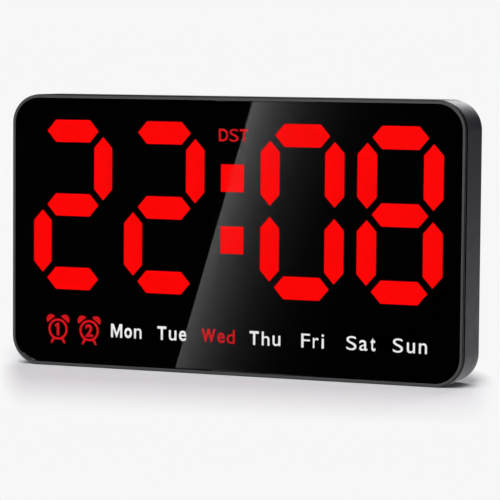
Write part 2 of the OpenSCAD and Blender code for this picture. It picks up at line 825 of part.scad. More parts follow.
// Bosses for the housing screws, each tied to the tongue by a rib
module screw_bosses() {
    rib_w = boss_r;
    for (p = HOUSING_SCREWS) translate([p[0], p[1], column_z]) cylinder(r = boss_r, h = boss_h);
    for (p = MID_SCREWS) {
        edge_y = p[1] < body_h / 2 ? tongue_in : body_h - side_wall;
        reach = side_wall - tongue_in;
        low = min(p[1], edge_y);
        high = max(p[1], edge_y + reach);
        translate([p[0] - rib_w / 2, low, shoulder_z]) cube([rib_w, high - low, ledge_z - shoulder_z]);
    }
    for (p = CORNER_SCREWS) {
        out = [sign(p[0]), sign(p[1] - body_h / 2)];
        from_corner = (corner_r - corner_screw_in) * sqrt(2);
        reach = corner_r - (tongue_in + side_wall) / 2 - from_corner;
        translate([p[0], p[1], shoulder_z]) rotate(atan2(out[1], out[0])) translate([0, -rib_w / 2, 0])
            cube([reach, rib_w, ledge_z - shoulder_z]);
    }
}

// Front lens: a bevelled sheet in the bezel's pocket
module front_lens() {
    inset = pocket_in + fit_gap;
    color("#101012", 0.6) stand_up() profile_block(inset, lens_z, lens_z + lens_t)
        chamfered_edge(corner_r - inset, lens_bevel, lens_z, lens_z + lens_t);
}

// Mask film: an opaque sheet behind the lens, with a window for each segment and colon dot
module mask_film() {
    inset = opening_in + fit_gap;
    color("#08080a") stand_up() translate([0, 0, mask_z]) linear_extrude(film_t) difference() {
        translate([0, body_h / 2]) round_rect(body_w - 2 * inset, body_h - 2 * inset, corner_r - inset);
        segment_windows(0);
        spot_windows(COLON_SPOTS, 0);
    }
}

// Reflector frame: a front panel over blocks that hold the light wells, with tabs behind the bezel's ledge
module reflector_frame() {
    panel_z = ledge_z + fit_gap;
    seat_z = mask_z - diffuser_t;
    seat_lap = diffuser_lap + fit_gap;
    deep = mask_z - board_front_z + 2 * over;
    color("#e9eaec") stand_up() difference() {
        union() {
            inset_block(opening_in + fit_gap, panel_z, mask_z);
            digit_blocks(panel_z);
            window_blocks(panel_z);
            reflector_tabs(panel_z);
            for (p = BOARD_SCREWS) translate([p[0], p[1], board_front_z])
                cylinder(r = board_screw_head_r + fit_gap, h = mask_z - board_front_z);
        }
        translate([0, 0, seat_z]) linear_extrude(diffuser_t + over) {
            segment_windows(seat_lap);
            spot_windows(COLON_SPOTS, seat_lap);
            spot_windows(WINDOW_SPOTS, seat_lap);
        }
        translate([0, 0, board_front_z - over]) linear_extrude(deep) {
            segment_windows(seat_lap - well_ledge);
            spot_windows(COLON_SPOTS, seat_lap - well_ledge);
            spot_windows(WINDOW_SPOTS, seat_lap - well_ledge);
        }
        for (p = BOARD_SCREWS) translate([p[0], p[1], board_front_z - over])
            cylinder(r = board_screw_r + press_gap, h = board_screw_len - board_t + 2 * over);
        for (p = HOUSING_SCREWS) translate([p[0], p[1], board_front_z - over])
            cylinder(r = boss_r + free_gap, h = panel_z - board_front_z + over);
    }
}

// A block round each digit, hollow behind the two panes of its figure eight
module digit_blocks(panel_z) {
    rim = diffuser_lap + well_wall;
    w = 2 * upright_x + upright_w + 2 * rim;
    h = 2 * row_pitch + level_h + 2 * rim;
    pane_w = 2 * upright_x - upright_w - 2 * rim;
    pane_h = row_pitch - level_h - 2 * rim;
    for (x = DIGIT_X) translate([x, row_mid_y, board_front_z]) difference() {
        linear_extrude(panel_z - board_front_z + fit_gap) square([w, h], center = true);
        for (s = [-1, 1]) translate([0, s * row_pitch / 2, -over])
            linear_extrude(panel_z - board_front_z + over) square([pane_w, pane_h], center = true);
    }
}

// Blocks round the colon, the labels and the signs
module window_blocks(panel_z) {
    rim = diffuser_lap + well_wall;
    translate([0, 0, board_front_z]) linear_extrude(panel_z - board_front_z + fit_gap) {
        spot_windows(COLON_SPOTS, rim);
        spot_windows(WINDOW_SPOTS, rim);
    }
}

// Tabs that reach behind the bezel's ledge, two on each side
module reflector_tabs(panel_z) {
    edge_x = body_w / 2 - opening_in;
    edge_y = body_h / 2 - opening_in;
    centred() for (turn = [0, 180], s = [-1, 1]) rotate(turn) {
        translate([edge_x, s * side_tab_y, 0]) reflector_tab(panel_z);
        translate([s * end_tab_x, edge_y, 0]) rotate(90) reflector_tab(panel_z);
    }
}

// One tab that points along x, with the edge of the bezel's opening at x = 0
module reflector_tab(panel_z) {
    reach = opening_in - side_wall - free_gap;
    translate([-reach, -tab_w / 2, ledge_z - tab_t]) {
        cube([2 * reach, tab_w, tab_t]);
        cube([reach - fit_gap, tab_w, panel_z + fit_gap - ledge_z + tab_t]);
    }
}

// Diffuser in the front of one segment's well
module segment_diffuser(digit, name) {
    translate([0, 0, mask_z - diffuser_t]) linear_extrude(diffuser_t)
        at_segment(digit, name) segment_outline(name, diffuser_lap);
}

// Diffusers of one digit that are lit
module lit_segments(digit) {
    color("#ff1a10") stand_up()
        for (name = SEGMENTS) if (is_lit(digit, name)) segment_diffuser(digit, name);
}

// Diffusers of all digits that are dark
module unlit_segments() {
    color("#2a0b0b") stand_up()
        for (digit = [0:3], name = SEGMENTS) if (!is_lit(digit, name)) segment_diffuser(digit, name);
}

module colon_dots() {
    color("#ff1a10") stand_up() translate([0, 0, mask_z - diffuser_t]) linear_extrude(diffuser_t)
        spot_windows(COLON_SPOTS, diffuser_lap);
}

module label_diffusers() {
    color("#f2f2ee") stand_up() translate([0, 0, mask_z - diffuser_t]) linear_extrude(diffuser_t)
        spot_windows(WINDOW_SPOTS, diffuser_lap);
}

// LED board behind the reflector frame
module led_board() {
    board_r = 2;
    w = body_w - 2 * board_side_gap;
    h = body_h - 2 * board_end_gap;
    color("#1f5a34") stand_up() difference() {
        translate([0, body_h / 2, board_back_z]) linear_extrude(board_t) round_rect(w, h, board_r);
        for (p = BOARD_SCREWS) translate([p[0], p[1], board_back_z - over])
            cylinder(r = board_screw_r + fit_gap, h = board_t + 2 * over);
    }
}

// LED chips: two in each segment's well, one behind each dot, label and sign
module led_chips() {
    color("#f4f1da") stand_up() translate([0, 0, board_front_z]) linear_extrude(led_h) {
        for (digit = [0:3], name = SEGMENTS, s = [-1, 1]) at_segment(digit, name)
            rotate(is_level(name) ? 0 : 90) translate([s * led_pitch / 2, 0])
                square([led_l, led_w], center = true);
        for (p = concat(COLON_SPOTS, WINDOW_SPOTS)) translate([p[0], p[1]])
            square([led_l, led_w], center = true);
    }
}

// Chip body with a row of leads along two sides; its top is at z = 0 and it hangs from the board
module leaded_chip(l, w, h, leads, pitch) {
    lead_w = 0.4;
    lead_out = 1;
    standoff = 0.1;
    translate([-l / 2, -w / 2, -h]) cube([l, w, h - standoff]);
    for (turn = [0, 180], i = [0:leads - 1]) rotate(turn)
        translate([(i - (leads - 1) / 2) * pitch - lead_w / 2, w / 2 - lead_w, -h / 2])
            cube([lead_w, lead_out + lead_w, h / 2]);
}

module at_board_back(p) {
    translate([p[0], p[1], board_back_z]) children();
}

module controller_chip() {
    color("#19191b") stand_up() at_board_back(CONTROLLER) {
        for (turn = [0, 90]) rotate(turn)
            leaded_chip(chip_side, chip_side, chip_h, lead_count, chip_side * 0.08);
    }
}

module driver_chips() {
    color("#19191b") stand_up() for (sx = [-1, 1]) at_board_back([sx * outer_digit_x, row_mid_y])
        leaded_chip(driver_l, driver_w, chip_h, lead_count, driver_l * 0.098);
}

module crystal() {
    color("#c6c8ca") stand_up() at_board_back(CRYSTAL) translate([0, 0, -crystal_h])
        linear_extrude(crystal_h) rotate(90) round_rect(crystal_l, crystal_w, crystal_w / 3);
}

// Capacitors: cans with a crimped groove near the board
module capacitors() {
    sleeve_h = 1.6;
    groove_d = 0.35;
    groove_h = 0.8;
    color("#26324f") stand_up() for (p = CAPACITORS) at_board_back(p) mirror([0, 0, 1]) rotate_extrude()
        polygon([
            [0, 0], [cap_r, 0], [cap_r, sleeve_h], [cap_r - groove_d, sleeve_h + groove_h / 2],
            [cap_r, sleeve_h + groove_h], [cap_r, cap_h - groove_d], [cap_r - groove_d, cap_h], [0, cap_h]
        ]);
}

// Buzzer: a round case with a sound hole in its end
module buzzer() {
    color("#1c1c1e") stand_up() translate([buzzer_x, buzzer_y, board_back_z - buzzer_h]) difference() {
        cylinder(r = buzzer_r, h = buzzer_h);
        translate([0, 0, -over]) cylinder(r = sound_hole_r, h = buzzer_h / 2 + over);
    }
}

// Shell of the power socket: a folded sheet tube that stands on the board
module socket_shell() {
    color("#b9bbbe") stand_up() at_socket() translate([0, 0, shell_z]) difference() {
        linear_extrude(board_back_z - shell_z) round_rect(shell_w, shell_h, shell_corner_r);
        translate([0, 0, -over]) linear_extrude(board_back_z - shell_z + 2 * over)
            round_rect(shell_w - 2 * shell_t, shell_h - 2 * shell_t, shell_corner_r - shell_t);
    }
}

// Insulator inside the shell: a base on the board and the contact tongue
module socket_tongue() {
    base_h = 3;
    tongue_w = 6.6;
    tongue_t = 0.7;
    base_w = shell_w - 2 * shell_t - 2 * run_gap;
    base_t = shell_h - 2 * shell_t - 2 * run_gap;
    color("#202022") stand_up() at_socket() {
        translate([0, 0, board_back_z - base_h]) linear_extrude(base_h)
            round_rect(base_w, base_t, shell_corner_r - shell_t - run_gap);
        translate([-tongue_w / 2, -tongue_t / 2, shell_z + tongue_t])
            cube([tongue_w, tongue_t, board_back_z - base_h - shell_z - tongue_t + fit_gap]);
    }
}

// Bodies of the four push switches, each with a bore for its plunger
module switch_bodies() {
    color("#2b2b2d") stand_up() for (i = [0:3]) at_button(i) translate([0, 0, switch_face_z]) difference() {
        translate([-switch_side / 2, -switch_side / 2, 0]) cube([switch_side, switch_side, switch_h]);
        translate([0, 0, -over])
            cylinder(r = plunger_r + run_gap, h = plunger_in + button_travel + 2 * fit_gap + over);
    }
}

// Plunger of one switch
module switch_plunger(i) {
    color("#d8d4c8") stand_up() at_button(i) translate([0, 0, plunger_z])
        cylinder(r = plunger_r, h = plunger_out + plunger_in);
}

// Cap of one button: a dished face, a flange behind the panel and a stem down to the switch
module button_cap(i) {
    flange_z = back_t + fit_gap;
    color("#5d5f63") stand_up() at_button(i) difference() {
        rotate_extrude() polygon([
            [0, button_sink], [button_r, button_sink], [button_r, flange_z], [button_flange_r, flange_z],
            [button_flange_r, flange_z + button_flange_t], [button_stem_r, flange_z + button_flange_t],
            [button_stem_r, plunger_z], [0, plunger_z]
        ]);
        translate([0, 0, button_sink + button_dish_d - button_dish_r]) sphere(r = button_dish_r);
    }
}

module coin_cell() {
    step = 0.6;
    color("#c9cbcd") stand_up() at_cell() translate([0, 0, cell_z]) {
        cylinder(r = cell_r, h = cell_t - step);
        cylinder(r = cell_r - 2 * step, h = cell_t);
    }
}

// Strip that touches the cell's rim and runs on to the board
module plus_contact() {
    color("#cdb46a") stand_up() at_cell() translate([plus_x, -contact_w / 2, collar_z + fit_gap])
        cube([contact_t, contact_w, board_back_z - collar_z - fit_gap]);
}

// Spring leaf under the cell, with a leg that runs on to the board
module minus_contact() {
    reach = cell_r;
    rise_x = cell_r / 4;
    top_z = cell_z + cell_t;
    low_z = well_floor_z - contact_t;
    color("#cdb46a") stand_up() at_cell() {
        translate([minus_x, contact_w / 2, 0]) rotate([90, 0, 0]) linear_extrude(contact_w) polygon([
            [0, low_z], [rise_x, low_z], [reach - rise_x, top_z], [reach, top_z],
            [reach, top_z + contact_t], [reach - rise_x, top_z + contact_t],
            [rise_x, well_floor_z], [contact_t, well_floor_z], [contact_t, board_back_z], [0, board_back_z]
        ]);
    }
}

// Pan-head screw with its seat at z = 0, pointing up, and a cross recess in its head
module pan_screw(r, head_r, head_h, len) {
    cross_w = head_r / 3;
    difference() {
        rotate_extrude() polygon([
            [0, len], [r * 0.4, len], [r, len - r], [r, 0], [head_r, 0],
            [head_r, -head_h * 0.6], [head_r * 0.7, -head_h], [0, -head_h]
        ]);
        for (turn = [0, 90]) rotate(turn) translate([-head_r * 0.6, -cross_w / 2, -head_h - over])
            cube([head_r * 1.2, cross_w, head_h / 2 + over]);
    }
}

module housing_screws() {
    color("#4a4b4e") stand_up() for (p = HOUSING_SCREWS) translate([p[0], p[1], screw_seat_z])
        pan_screw(screw_r, screw_head_r, screw_head_h, screw_len);
}

module board_screws() {
    color("#a9abae") stand_up() for (p = BOARD_SCREWS) translate([p[0], p[1], board_back_z])
        pan_screw(board_screw_r, board_screw_head_r, board_screw_head_h, board_screw_len);
}

// Stand leg: a plate with a hinge barrel, a heel over it, a panelled outer face and a finger cut
module stand_leg() {
    top_y = hinge_y + heel_up;
    panel_y0 = foot_y + finger_r + leg_border;
    panel_y1 = hinge_y - barrel_r - leg_border;
    color("#35363a") stand_up() difference() {
        union() {
            translate([0, 0, leg_sink]) linear_extrude(leg_t) {
                translate([0, (foot_y + hinge_y) / 2]) round_rect(leg_w, leg_len, leg_corner_r);
                translate([-leg_w / 2, hinge_y - leg_len / 2]) square([leg_w, top_y - hinge_y + leg_len / 2]);
            }
            translate([-leg_w / 2, hinge_y, hinge_z]) rotate([0, 90, 0]) cylinder(r = barrel_r, h = leg_w);
        }
        translate([-leg_w / 2 - over, hinge_y, hinge_z]) rotate([0, 90, 0])
            cylinder(r = pin_r + press_gap, h = leg_w + 2 * over);
        translate([0, foot_y, -over]) cylinder(r = finger_r, h = leg_face_z + 2 * over);
        translate([0, (panel_y0 + panel_y1) / 2, -over]) linear_extrude(leg_sink + leg_panel_d + over)
            round_rect(leg_w - 2 * leg_border, panel_y1 - panel_y0, leg_corner_r);
    }
}

module stand_pin() {
    color("#b4b6b9") stand_up() translate([-pin_len / 2, hinge_y, hinge_z]) rotate([0, 90, 0])
        cylinder(r = pin_r, h = pin_len);
}

// Battery door: a disc with a coin slot, and a collar with two lugs that lock behind the panel
module battery_door() {
    color("#35363a") stand_up() at_cell() difference() {
        union() {
            translate([0, 0, door_sink]) cylinder(r = door_r, h = door_t);
            translate([0, 0, door_back_z - over]) cylinder(r = door_r - fit_gap, h = collar_h + over);
            sector_pair(door_r - collar_t / 2, lug_r, lip_back_z + run_gap, collar_z - run_gap, lug_angle, 0);
        }
        translate([0, 0, door_back_z]) cylinder(r = door_r - collar_t, h = collar_h + over);
        translate([-coin_slot_len / 2, -coin_slot_w / 2, door_sink - over])
            cube([coin_slot_len, coin_slot_w, coin_slot_d + over]);
    }
}

rear_housing();
bezel_frame();
front_lens();
mask_film();
reflector_frame();
lit_segments(0);  // hour_tens_segments
lit_segments(1);  // hour_units_segments
lit_segments(2);  // minute_tens_segments
lit_segments(3);  // minute_units_segments
unlit_segments();
colon_dots();
label_diffusers();
led_board();
led_chips();
controller_chip();
driver_chips();
crystal();
capacitors();
buzzer();
socket_shell();
socket_tongue();
switch_bodies();
coin_cell();
plus_contact();
minus_contact();
housing_screws();
board_screws();
stand_leg();
stand_pin();
battery_door();
for (i = [0:3]) {
    button_cap(i);
    switch_plunger(i);
}
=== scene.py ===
import math

import bpy
from mathutils import Matrix, Vector


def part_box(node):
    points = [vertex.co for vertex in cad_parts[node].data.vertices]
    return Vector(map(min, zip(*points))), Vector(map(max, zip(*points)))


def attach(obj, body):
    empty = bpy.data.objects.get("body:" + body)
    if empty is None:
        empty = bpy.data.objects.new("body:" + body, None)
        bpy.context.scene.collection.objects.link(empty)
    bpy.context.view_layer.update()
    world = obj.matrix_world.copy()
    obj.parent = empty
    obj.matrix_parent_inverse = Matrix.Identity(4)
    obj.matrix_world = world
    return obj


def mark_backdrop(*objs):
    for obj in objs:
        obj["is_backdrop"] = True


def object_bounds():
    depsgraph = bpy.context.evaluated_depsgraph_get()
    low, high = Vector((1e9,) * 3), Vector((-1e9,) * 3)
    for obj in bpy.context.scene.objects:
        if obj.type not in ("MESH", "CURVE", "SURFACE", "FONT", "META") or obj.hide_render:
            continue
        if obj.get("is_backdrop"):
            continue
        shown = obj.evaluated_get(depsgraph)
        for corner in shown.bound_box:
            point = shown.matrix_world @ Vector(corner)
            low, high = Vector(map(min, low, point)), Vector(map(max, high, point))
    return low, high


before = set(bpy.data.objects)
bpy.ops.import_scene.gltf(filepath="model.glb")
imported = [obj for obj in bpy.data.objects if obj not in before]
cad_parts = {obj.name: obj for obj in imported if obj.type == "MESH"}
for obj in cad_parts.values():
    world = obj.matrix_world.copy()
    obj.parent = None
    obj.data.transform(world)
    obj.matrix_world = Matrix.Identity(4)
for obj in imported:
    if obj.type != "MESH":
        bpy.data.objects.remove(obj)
cad_low, cad_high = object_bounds()
mm = 0.001
bpy.context.scene.view_settings.view_transform = "Standard"


# Rear housing: a tray moulded in charcoal ABS, which eight screws from behind hold to the bezel.
# It is grained all over and lighter along its edges, partly wear and partly a painted highlight.
# Paint fills its sunk signs, and the lip in the groove is painted near-black as the groove's shade.
charcoal, charcoal_wear_and_highlight = (0.0228, 0.0203, 0.0302), (0.085, 0.084, 0.092)
sign_white = (0.60, 0.60, 0.58)
groove_shade_colour, groove_shine = (0.003, 0.003, 0.003), 0.05
sign_depth = 0.4 * mm
plastic_shine, paint_roughness = 0.4, 0.5
noise_low, noise_high = 0.3, 0.7
shade_waves, wear_waves, gloss_waves, grain_waves = 28, 420, 150, 2400
shade_range, least_wear, gloss_swing = (0.86, 1.14), 0.45, 0.05
black_waves, black_range = 120, (0.7, 1.3)
matt_waves, matt_grain_waves, matt_swing = 300, 3000, 0.1
paint_waves, paint_thinnest = 900, 0.75
edge_samples, edge_bent, edge_flat = 6, 0.86, 0.985
tiny = 0.05 * mm
square_on = 0.99


def new_material(name):
    """A material, its node tree and its plain shader."""
    material = bpy.data.materials.new(name)
    material.use_nodes = True
    tree = material.node_tree
    return material, tree, tree.nodes["Principled BSDF"]


def feed(tree, socket, value):
    """Sets a socket to a value, or links it to another socket."""
    if isinstance(value, bpy.types.NodeSocket):
        tree.links.new(value, socket)
    elif socket.type == "RGBA":
        socket.default_value = (*value, 1.0)
    else:
        socket.default_value = value


def own_place(tree):
    """The piece's own coordinates, in metres."""
    return tree.nodes.new("ShaderNodeTexCoord").outputs["Object"]


def noise(tree, waves, detail=3.0):
    """Noise with so many waves to the metre."""
    node = tree.nodes.new("ShaderNodeTexNoise")
    node.inputs["Scale"].default_value = waves
    node.inputs["Detail"].default_value = detail
    feed(tree, node.inputs["Vector"], own_place(tree))
    return node.outputs["Fac"]


def ramp(tree, value, start, end, low, high):
    """A number that goes from low to high as the value goes from start to end."""
    node = tree.nodes.new("ShaderNodeMapRange")
    feed(tree, node.inputs["Value"], value)
    limits = {"From Min": start, "From Max": end, "To Min": low, "To Max": high}
    for name, number in limits.items():
        node.inputs[name].default_value = number
    return node.outputs["Result"]


def uneven(tree, waves, low, high):
    """A number that wanders between low and high, with so many waves to the metre."""
    return ramp(tree, noise(tree, waves), noise_low, noise_high, low, high)


def calculate(tree, operation, first, second):
    """One step of arithmetic on two numbers."""
    node = tree.nodes.new("ShaderNodeMath")
    node.operation = operation
    feed(tree, node.inputs[0], first)
    feed(tree, node.inputs[1], second)
    return node.outputs["Value"]


def vector_step(tree, operation, first, second=None):
    """One step of arithmetic on vectors."""
    node = tree.nodes.new("ShaderNodeVectorMath")
    node.operation = operation
    feed(tree, node.inputs[0], first)
    if second is not None:
        feed(tree, node.inputs[1], second)
    return node.outputs["Value" if operation in ("LENGTH", "DOT_PRODUCT") else "Vector"]


def mixed(tree, factor, first, second):
    """The first colour where the factor is 0 and the second where it is 1."""
    node = tree.nodes.new("ShaderNodeMix")
    node.data_type = "RGBA"
    feed(tree, node.inputs["Factor"], factor)
    feed(tree, node.inputs[6], first)
    feed(tree, node.inputs[7], second)
    return node.outputs[2]


def shaded(colour, share):
    """The colour, lighter or darker by a share."""
    return tuple(channel * share for channel in colour)


def mottled(tree, colour, waves, low, high=1.0):
    """The colour, wandering between two shares of it, with so many waves to the metre."""
    return mixed(tree, noise(tree, waves), shaded(colour, low), shaded(colour, high))


def raise_surface(tree, shader, height, depth):
    """Lets the height stand out of the surface, by up to depth."""
    node = tree.nodes.new("ShaderNodeBump")
    node.inputs["Distance"].default_value = depth
    feed(tree, node.inputs["Height"], height)
    feed(tree, shader.inputs["Normal"], node.outputs["Normal"])


def sharp_edges(tree, reach):
    """1 along the piece's sharp edges, as far as reach, and 0 elsewhere."""
    rounded = tree.nodes.new("ShaderNodeBevel")
    rounded.samples = edge_samples
    rounded.inputs["Radius"].default_value = reach
    true = tree.nodes.new("ShaderNodeNewGeometry")
    likeness = vector_step(tree, "DOT_PRODUCT", rounded.outputs["Normal"], true.outputs["Normal"])
    return ramp(tree, likeness, edge_bent, edge_flat, 1.0, 0.0)


def moulded(name, colour, edge_colour, roughness, grain, reach=0.4 * mm):
    """Moulded plastic: grained, uneven in shade and gloss, and lighter along its edges, as wear
    and, with a wide reach, as a painted highlight.
    """
    material, tree, shader = new_material(name)
    shader.inputs["Specular IOR Level"].default_value = plastic_shine
    shade = mottled(tree, colour, shade_waves, *shade_range)
    patches = uneven(tree, wear_waves, least_wear, 1.0)
    edge_wear_and_highlight = calculate(tree, "MULTIPLY", sharp_edges(tree, reach), patches)
    feed(tree, shader.inputs["Base Color"], mixed(tree, edge_wear_and_highlight, shade, edge_colour))
    gloss = uneven(tree, gloss_waves, roughness - gloss_swing, roughness + gloss_swing)
    feed(tree, shader.inputs["Roughness"], gloss)
    raise_surface(tree, shader, noise(tree, grain_waves, 2.0), grain)
    return material


def matt_black(name, colour, roughness, grain):
    """A black that hardly shines, a little uneven in shade."""
    material, tree, shader = new_material(name)
    feed(tree, shader.inputs["Base Color"], mottled(tree, colour, black_waves, *black_range))
    gloss = uneven(tree, matt_waves, roughness, roughness + matt_swing)
    feed(tree, shader.inputs["Roughness"], gloss)
    shader.inputs["Specular IOR Level"].default_value = groove_shine
    raise_surface(tree, shader, noise(tree, matt_grain_waves, 2.0), grain)
    return material


def paint_fill(name, colour):
    """Brushed-in paint that is thinner here and there."""
    material, tree, shader = new_material(name)
    feed(tree, shader.inputs["Base Color"], mottled(tree, colour, paint_waves, paint_thinnest))
    shader.inputs["Roughness"].default_value = paint_roughness
    return material


def dress(node, *materials):
    """Gives a CAD node its materials, with the first on all its faces."""
    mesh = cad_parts[node].data
    mesh.materials.clear()
    for material in materials:
        mesh.materials.append(material)
    return mesh


def paint(mesh, slot, chosen):
    """Gives the faces that are chosen another of the mesh's materials."""
    for face in mesh.polygons:
        if chosen(face):
            face.material_index = slot


back_y = cad_high.y
sign_y = back_y - sign_depth
lip_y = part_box("rear_housing")[0].y
# The wide reach makes the lighter edges a painted highlight along the lip and rear edge, as well as
# wear.
housing_plastic = moulded(
    "charcoal_plastic", charcoal, charcoal_wear_and_highlight, roughness=0.46, grain=0.03 * mm, reach=1 * mm
)
# The groove's near-black is painted shade: it darkens the groove between the bezel and the housing.
groove_painted_shade = matt_black("groove_painted_shade", groove_shade_colour, roughness=0.6, grain=0.003 * mm)
sign_paint = paint_fill("sign_paint", sign_white)
housing = dress("rear_housing", housing_plastic, sign_paint, groove_painted_shade)
paint(housing, 1, lambda face: face.normal.y > square_on and abs(face.center.y - sign_y) < tiny)
# The lip's front face, in the groove, gets the painted shade.
paint(housing, 2, lambda face: face.normal.y < -square_on and abs(face.center.y - lip_y) < tiny)


# Rating label: a blank label of satin silver film, die-cut with round corners. It has a printed
# border, and is stuck in its shallow panel on the back.
silver, border_dark = (0.50, 0.51, 0.52), (0.03, 0.03, 0.032)
label_w, label_h, label_t = 45 * mm, 17 * mm, 0.12 * mm
label_corner, label_steps = 1.8 * mm, 6
brush_stretch, brush_shade, film_metal = (40.0, 1.0, 3000.0), 0.8, 0.6
film_waves, film_gloss = 200, (0.36, 0.46)
border_in, border_w = 0.9 * mm, 0.4 * mm
panel_depth = 0.5 * mm
label_z = 26 * mm
door_low, door_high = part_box("battery_door")
label_x = (door_low.x + door_high.x) / 2
label_y = back_y - panel_depth + label_t / 2


def settle(piece):
    """Puts the selected piece's place, turn and scale into its mesh."""
    bpy.ops.object.transform_apply(location=True, rotation=True, scale=True)
    return piece


def start_block(name, size, middle):
    """A block of that size about that middle, alone and selected."""
    bpy.ops.object.select_all(action="DESELECT")
    bpy.ops.mesh.primitive_cube_add(size=1, location=middle)
    block = bpy.context.object
    block.name = name
    block.scale = size
    return settle(block)


def clear_picks(kind):
    """Deselects all of the mesh, ready to pick edges or faces in code."""
    bpy.ops.object.mode_set(mode="EDIT")
    bpy.ops.mesh.select_mode(type=kind)
    bpy.ops.mesh.select_all(action="DESELECT")
    bpy.ops.object.mode_set(mode="OBJECT")


def pick_edges(piece, chosen):
    """Selects only the edges that are chosen by their two ends, in edit mode."""
    mesh = piece.data
    clear_picks("EDGE")
    for edge in mesh.edges:
        edge.select = chosen(*[mesh.vertices[i].co for i in edge.vertices])
    bpy.ops.object.mode_set(mode="EDIT")


def pick_faces(piece, chosen):
    """Selects only the faces that are chosen, in edit mode."""
    clear_picks("FACE")
    for face in piece.data.polygons:
        face.select = chosen(face)
    bpy.ops.object.mode_set(mode="EDIT")


def label_film(name, colour):
    """Satin film with faint brushed lines."""
    material, tree, shader = new_material(name)
    stretch = tree.nodes.new("ShaderNodeMapping")
    stretch.inputs["Scale"].default_value = brush_stretch
    feed(tree, stretch.inputs["Vector"], own_place(tree))
    lines = tree.nodes.new("ShaderNodeTexNoise")
    lines.inputs["Scale"].default_value = 1.0
    feed(tree, lines.inputs["Vector"], stretch.outputs["Vector"])
    brushed = mixed(tree, lines.outputs["Fac"], shaded(colour, brush_shade), colour)
    feed(tree, shader.inputs["Base Color"], brushed)
    shader.inputs["Metallic"].default_value = film_metal
    feed(tree, shader.inputs["Roughness"], uneven(tree, film_waves, *film_gloss))
    return material


label_size, label_middle = (label_w, label_t, label_h), (label_x, label_y, label_z)
rating_label = start_block("rating_label", label_size, label_middle)
rating_label.data.materials.append(label_film("label_film", silver))
rating_label.data.materials.append(paint_fill("border_ink", border_dark))
pick_edges(rating_label, lambda one, other: abs(one.y - other.y) > tiny)
bpy.ops.mesh.bevel(offset=label_corner, segments=label_steps, affect="EDGES")
pick_faces(rating_label, lambda face: face.normal.y > square_on)
for slot, thickness in ((1, border_in), (0, border_w)):
    bpy.ops.mesh.inset(thickness=thickness, depth=0)
    rating_label.active_material_index = slot
    bpy.ops.object.material_slot_assign()
bpy.ops.object.mode_set(mode="OBJECT")
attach(rating_label, "clock")


# Stand leg: a plate moulded in the same plastic as the housing, a shade darker. It lies in its
# recess and swings out about a plated steel pin, which is pressed in from the side.
leg_shade = 0.8
steel = (0.62, 0.62, 0.60)
metal_waves, metal_shade = 90, 0.88
polish, scuff = 0.06, 0.08


def metal(name, colour, roughness, scratches):
    """Plated or polished metal with fine scratches, so many to the metre."""
    material, tree, shader = new_material(name)
    feed(tree, shader.inputs["Base Color"], mottled(tree, colour, metal_waves, metal_shade))
    shader.inputs["Metallic"].default_value = 1.0
    worn = uneven(tree, scratches, roughness - polish, roughness + scuff)
    feed(tree, shader.inputs["Roughness"], worn)
    return material


leg_plastic = moulded(
    "leg_plastic", shaded(charcoal, leg_shade), charcoal_wear_and_highlight, roughness=0.5, grain=0.03 * mm
)
plated_steel = metal("plated_steel", steel, roughness=0.28, scratches=900)
dress("stand_leg", leg_plastic)
dress("stand_pin", plated_steel)


# Battery door: a twist cap moulded in the leg's plastic, with a coin slot and two lugs that lock
# it. It covers the back-up cell, a coin cell of nickel-plated steel that sits between two stamped
# brass contacts.
brass_yellow, nickel = (0.72, 0.53, 0.24), (0.68, 0.68, 0.67)
brass = metal("contact_brass", brass_yellow, roughness=0.3, scratches=700)
dress("battery_door", leg_plastic)
dress("coin_cell", metal("cell_steel", nickel, roughness=0.24, scratches=500))
dress("plus_contact", brass)
dress("minus_contact", brass)


# Buttons: four caps moulded in a lighter grey, which slide in bores in the back. Each stands on
# the white nylon plunger of a push switch, whose black body is soldered to the board.
cap_grey, cap_rubbed = (0.13, 0.13, 0.135), (0.2, 0.2, 0.2)
nylon_white, nylon_rubbed = (0.62, 0.59, 0.52), (0.66, 0.63, 0.56)
switch_black, switch_rubbed = (0.02, 0.02, 0.022), (0.05, 0.05, 0.05)
cap_plastic = moulded("button_plastic", cap_grey, cap_rubbed, roughness=0.42, grain=0.015 * mm)
nylon = moulded("plunger_plastic", nylon_white, nylon_rubbed, roughness=0.4, grain=0.01 * mm)
for button in ("set", "up", "down", "alarm"):
    dress(button + "_button", cap_plastic)
    dress(button + "_plunger", nylon)
dress("switch_bodies", moulded(
    "switch_plastic", switch_black, switch_rubbed, roughness=0.5, grain=0.01 * mm
))


# Screws: eight in blackened steel, sunk in the back, hold the housing to the bezel. Four in
# zinc-plated steel hold the board to the reflector.
blackened = (0.09, 0.09, 0.095)
dress("housing_screws", metal("black_steel", blackened, roughness=0.38, scratches=1200))
dress("board_screws", plated_steel)


# Power socket: a shell folded from plated steel with a tongue of black insulator in it. It is
# soldered to the board and shows in a recess in the back.
insulator, insulator_rubbed = (0.015, 0.015, 0.016), (0.04, 0.04, 0.04)
dress("socket_shell", plated_steel)
dress("socket_tongue", moulded(
    "insulator_plastic", insulator, insulator_rubbed, roughness=0.45, grain=0.01 * mm
))


# Board: glass-fibre laminate under green solder mask, with copper tracks that show as paler lines.
# It carries the chips in black epoxy, the crystal's can, two sleeved capacitors and the buzzer.
mask_green, track_green = (0.012, 0.085, 0.035), (0.03, 0.15, 0.06)
epoxy_black, epoxy_rubbed = (0.012, 0.012, 0.013), (0.03, 0.03, 0.03)
solder_grey = (0.66, 0.66, 0.64)
sleeve_blue, sleeve_rubbed = (0.018, 0.03, 0.075), (0.05, 0.07, 0.12)
buzzer_black, buzzer_rubbed = (0.015, 0.015, 0.016), (0.04, 0.04, 0.04)
phosphor, phosphor_rubbed = (0.70, 0.66, 0.44), (0.72, 0.70, 0.55)
track_scale, track_w, track_blur, track_height = 110.0, 0.035, 0.2, 0.03 * mm
board_waves, board_shade = 60, 0.85
lacquer_waves, lacquer_gloss = 300, (0.24, 0.34)
lead_reach = 1 * mm


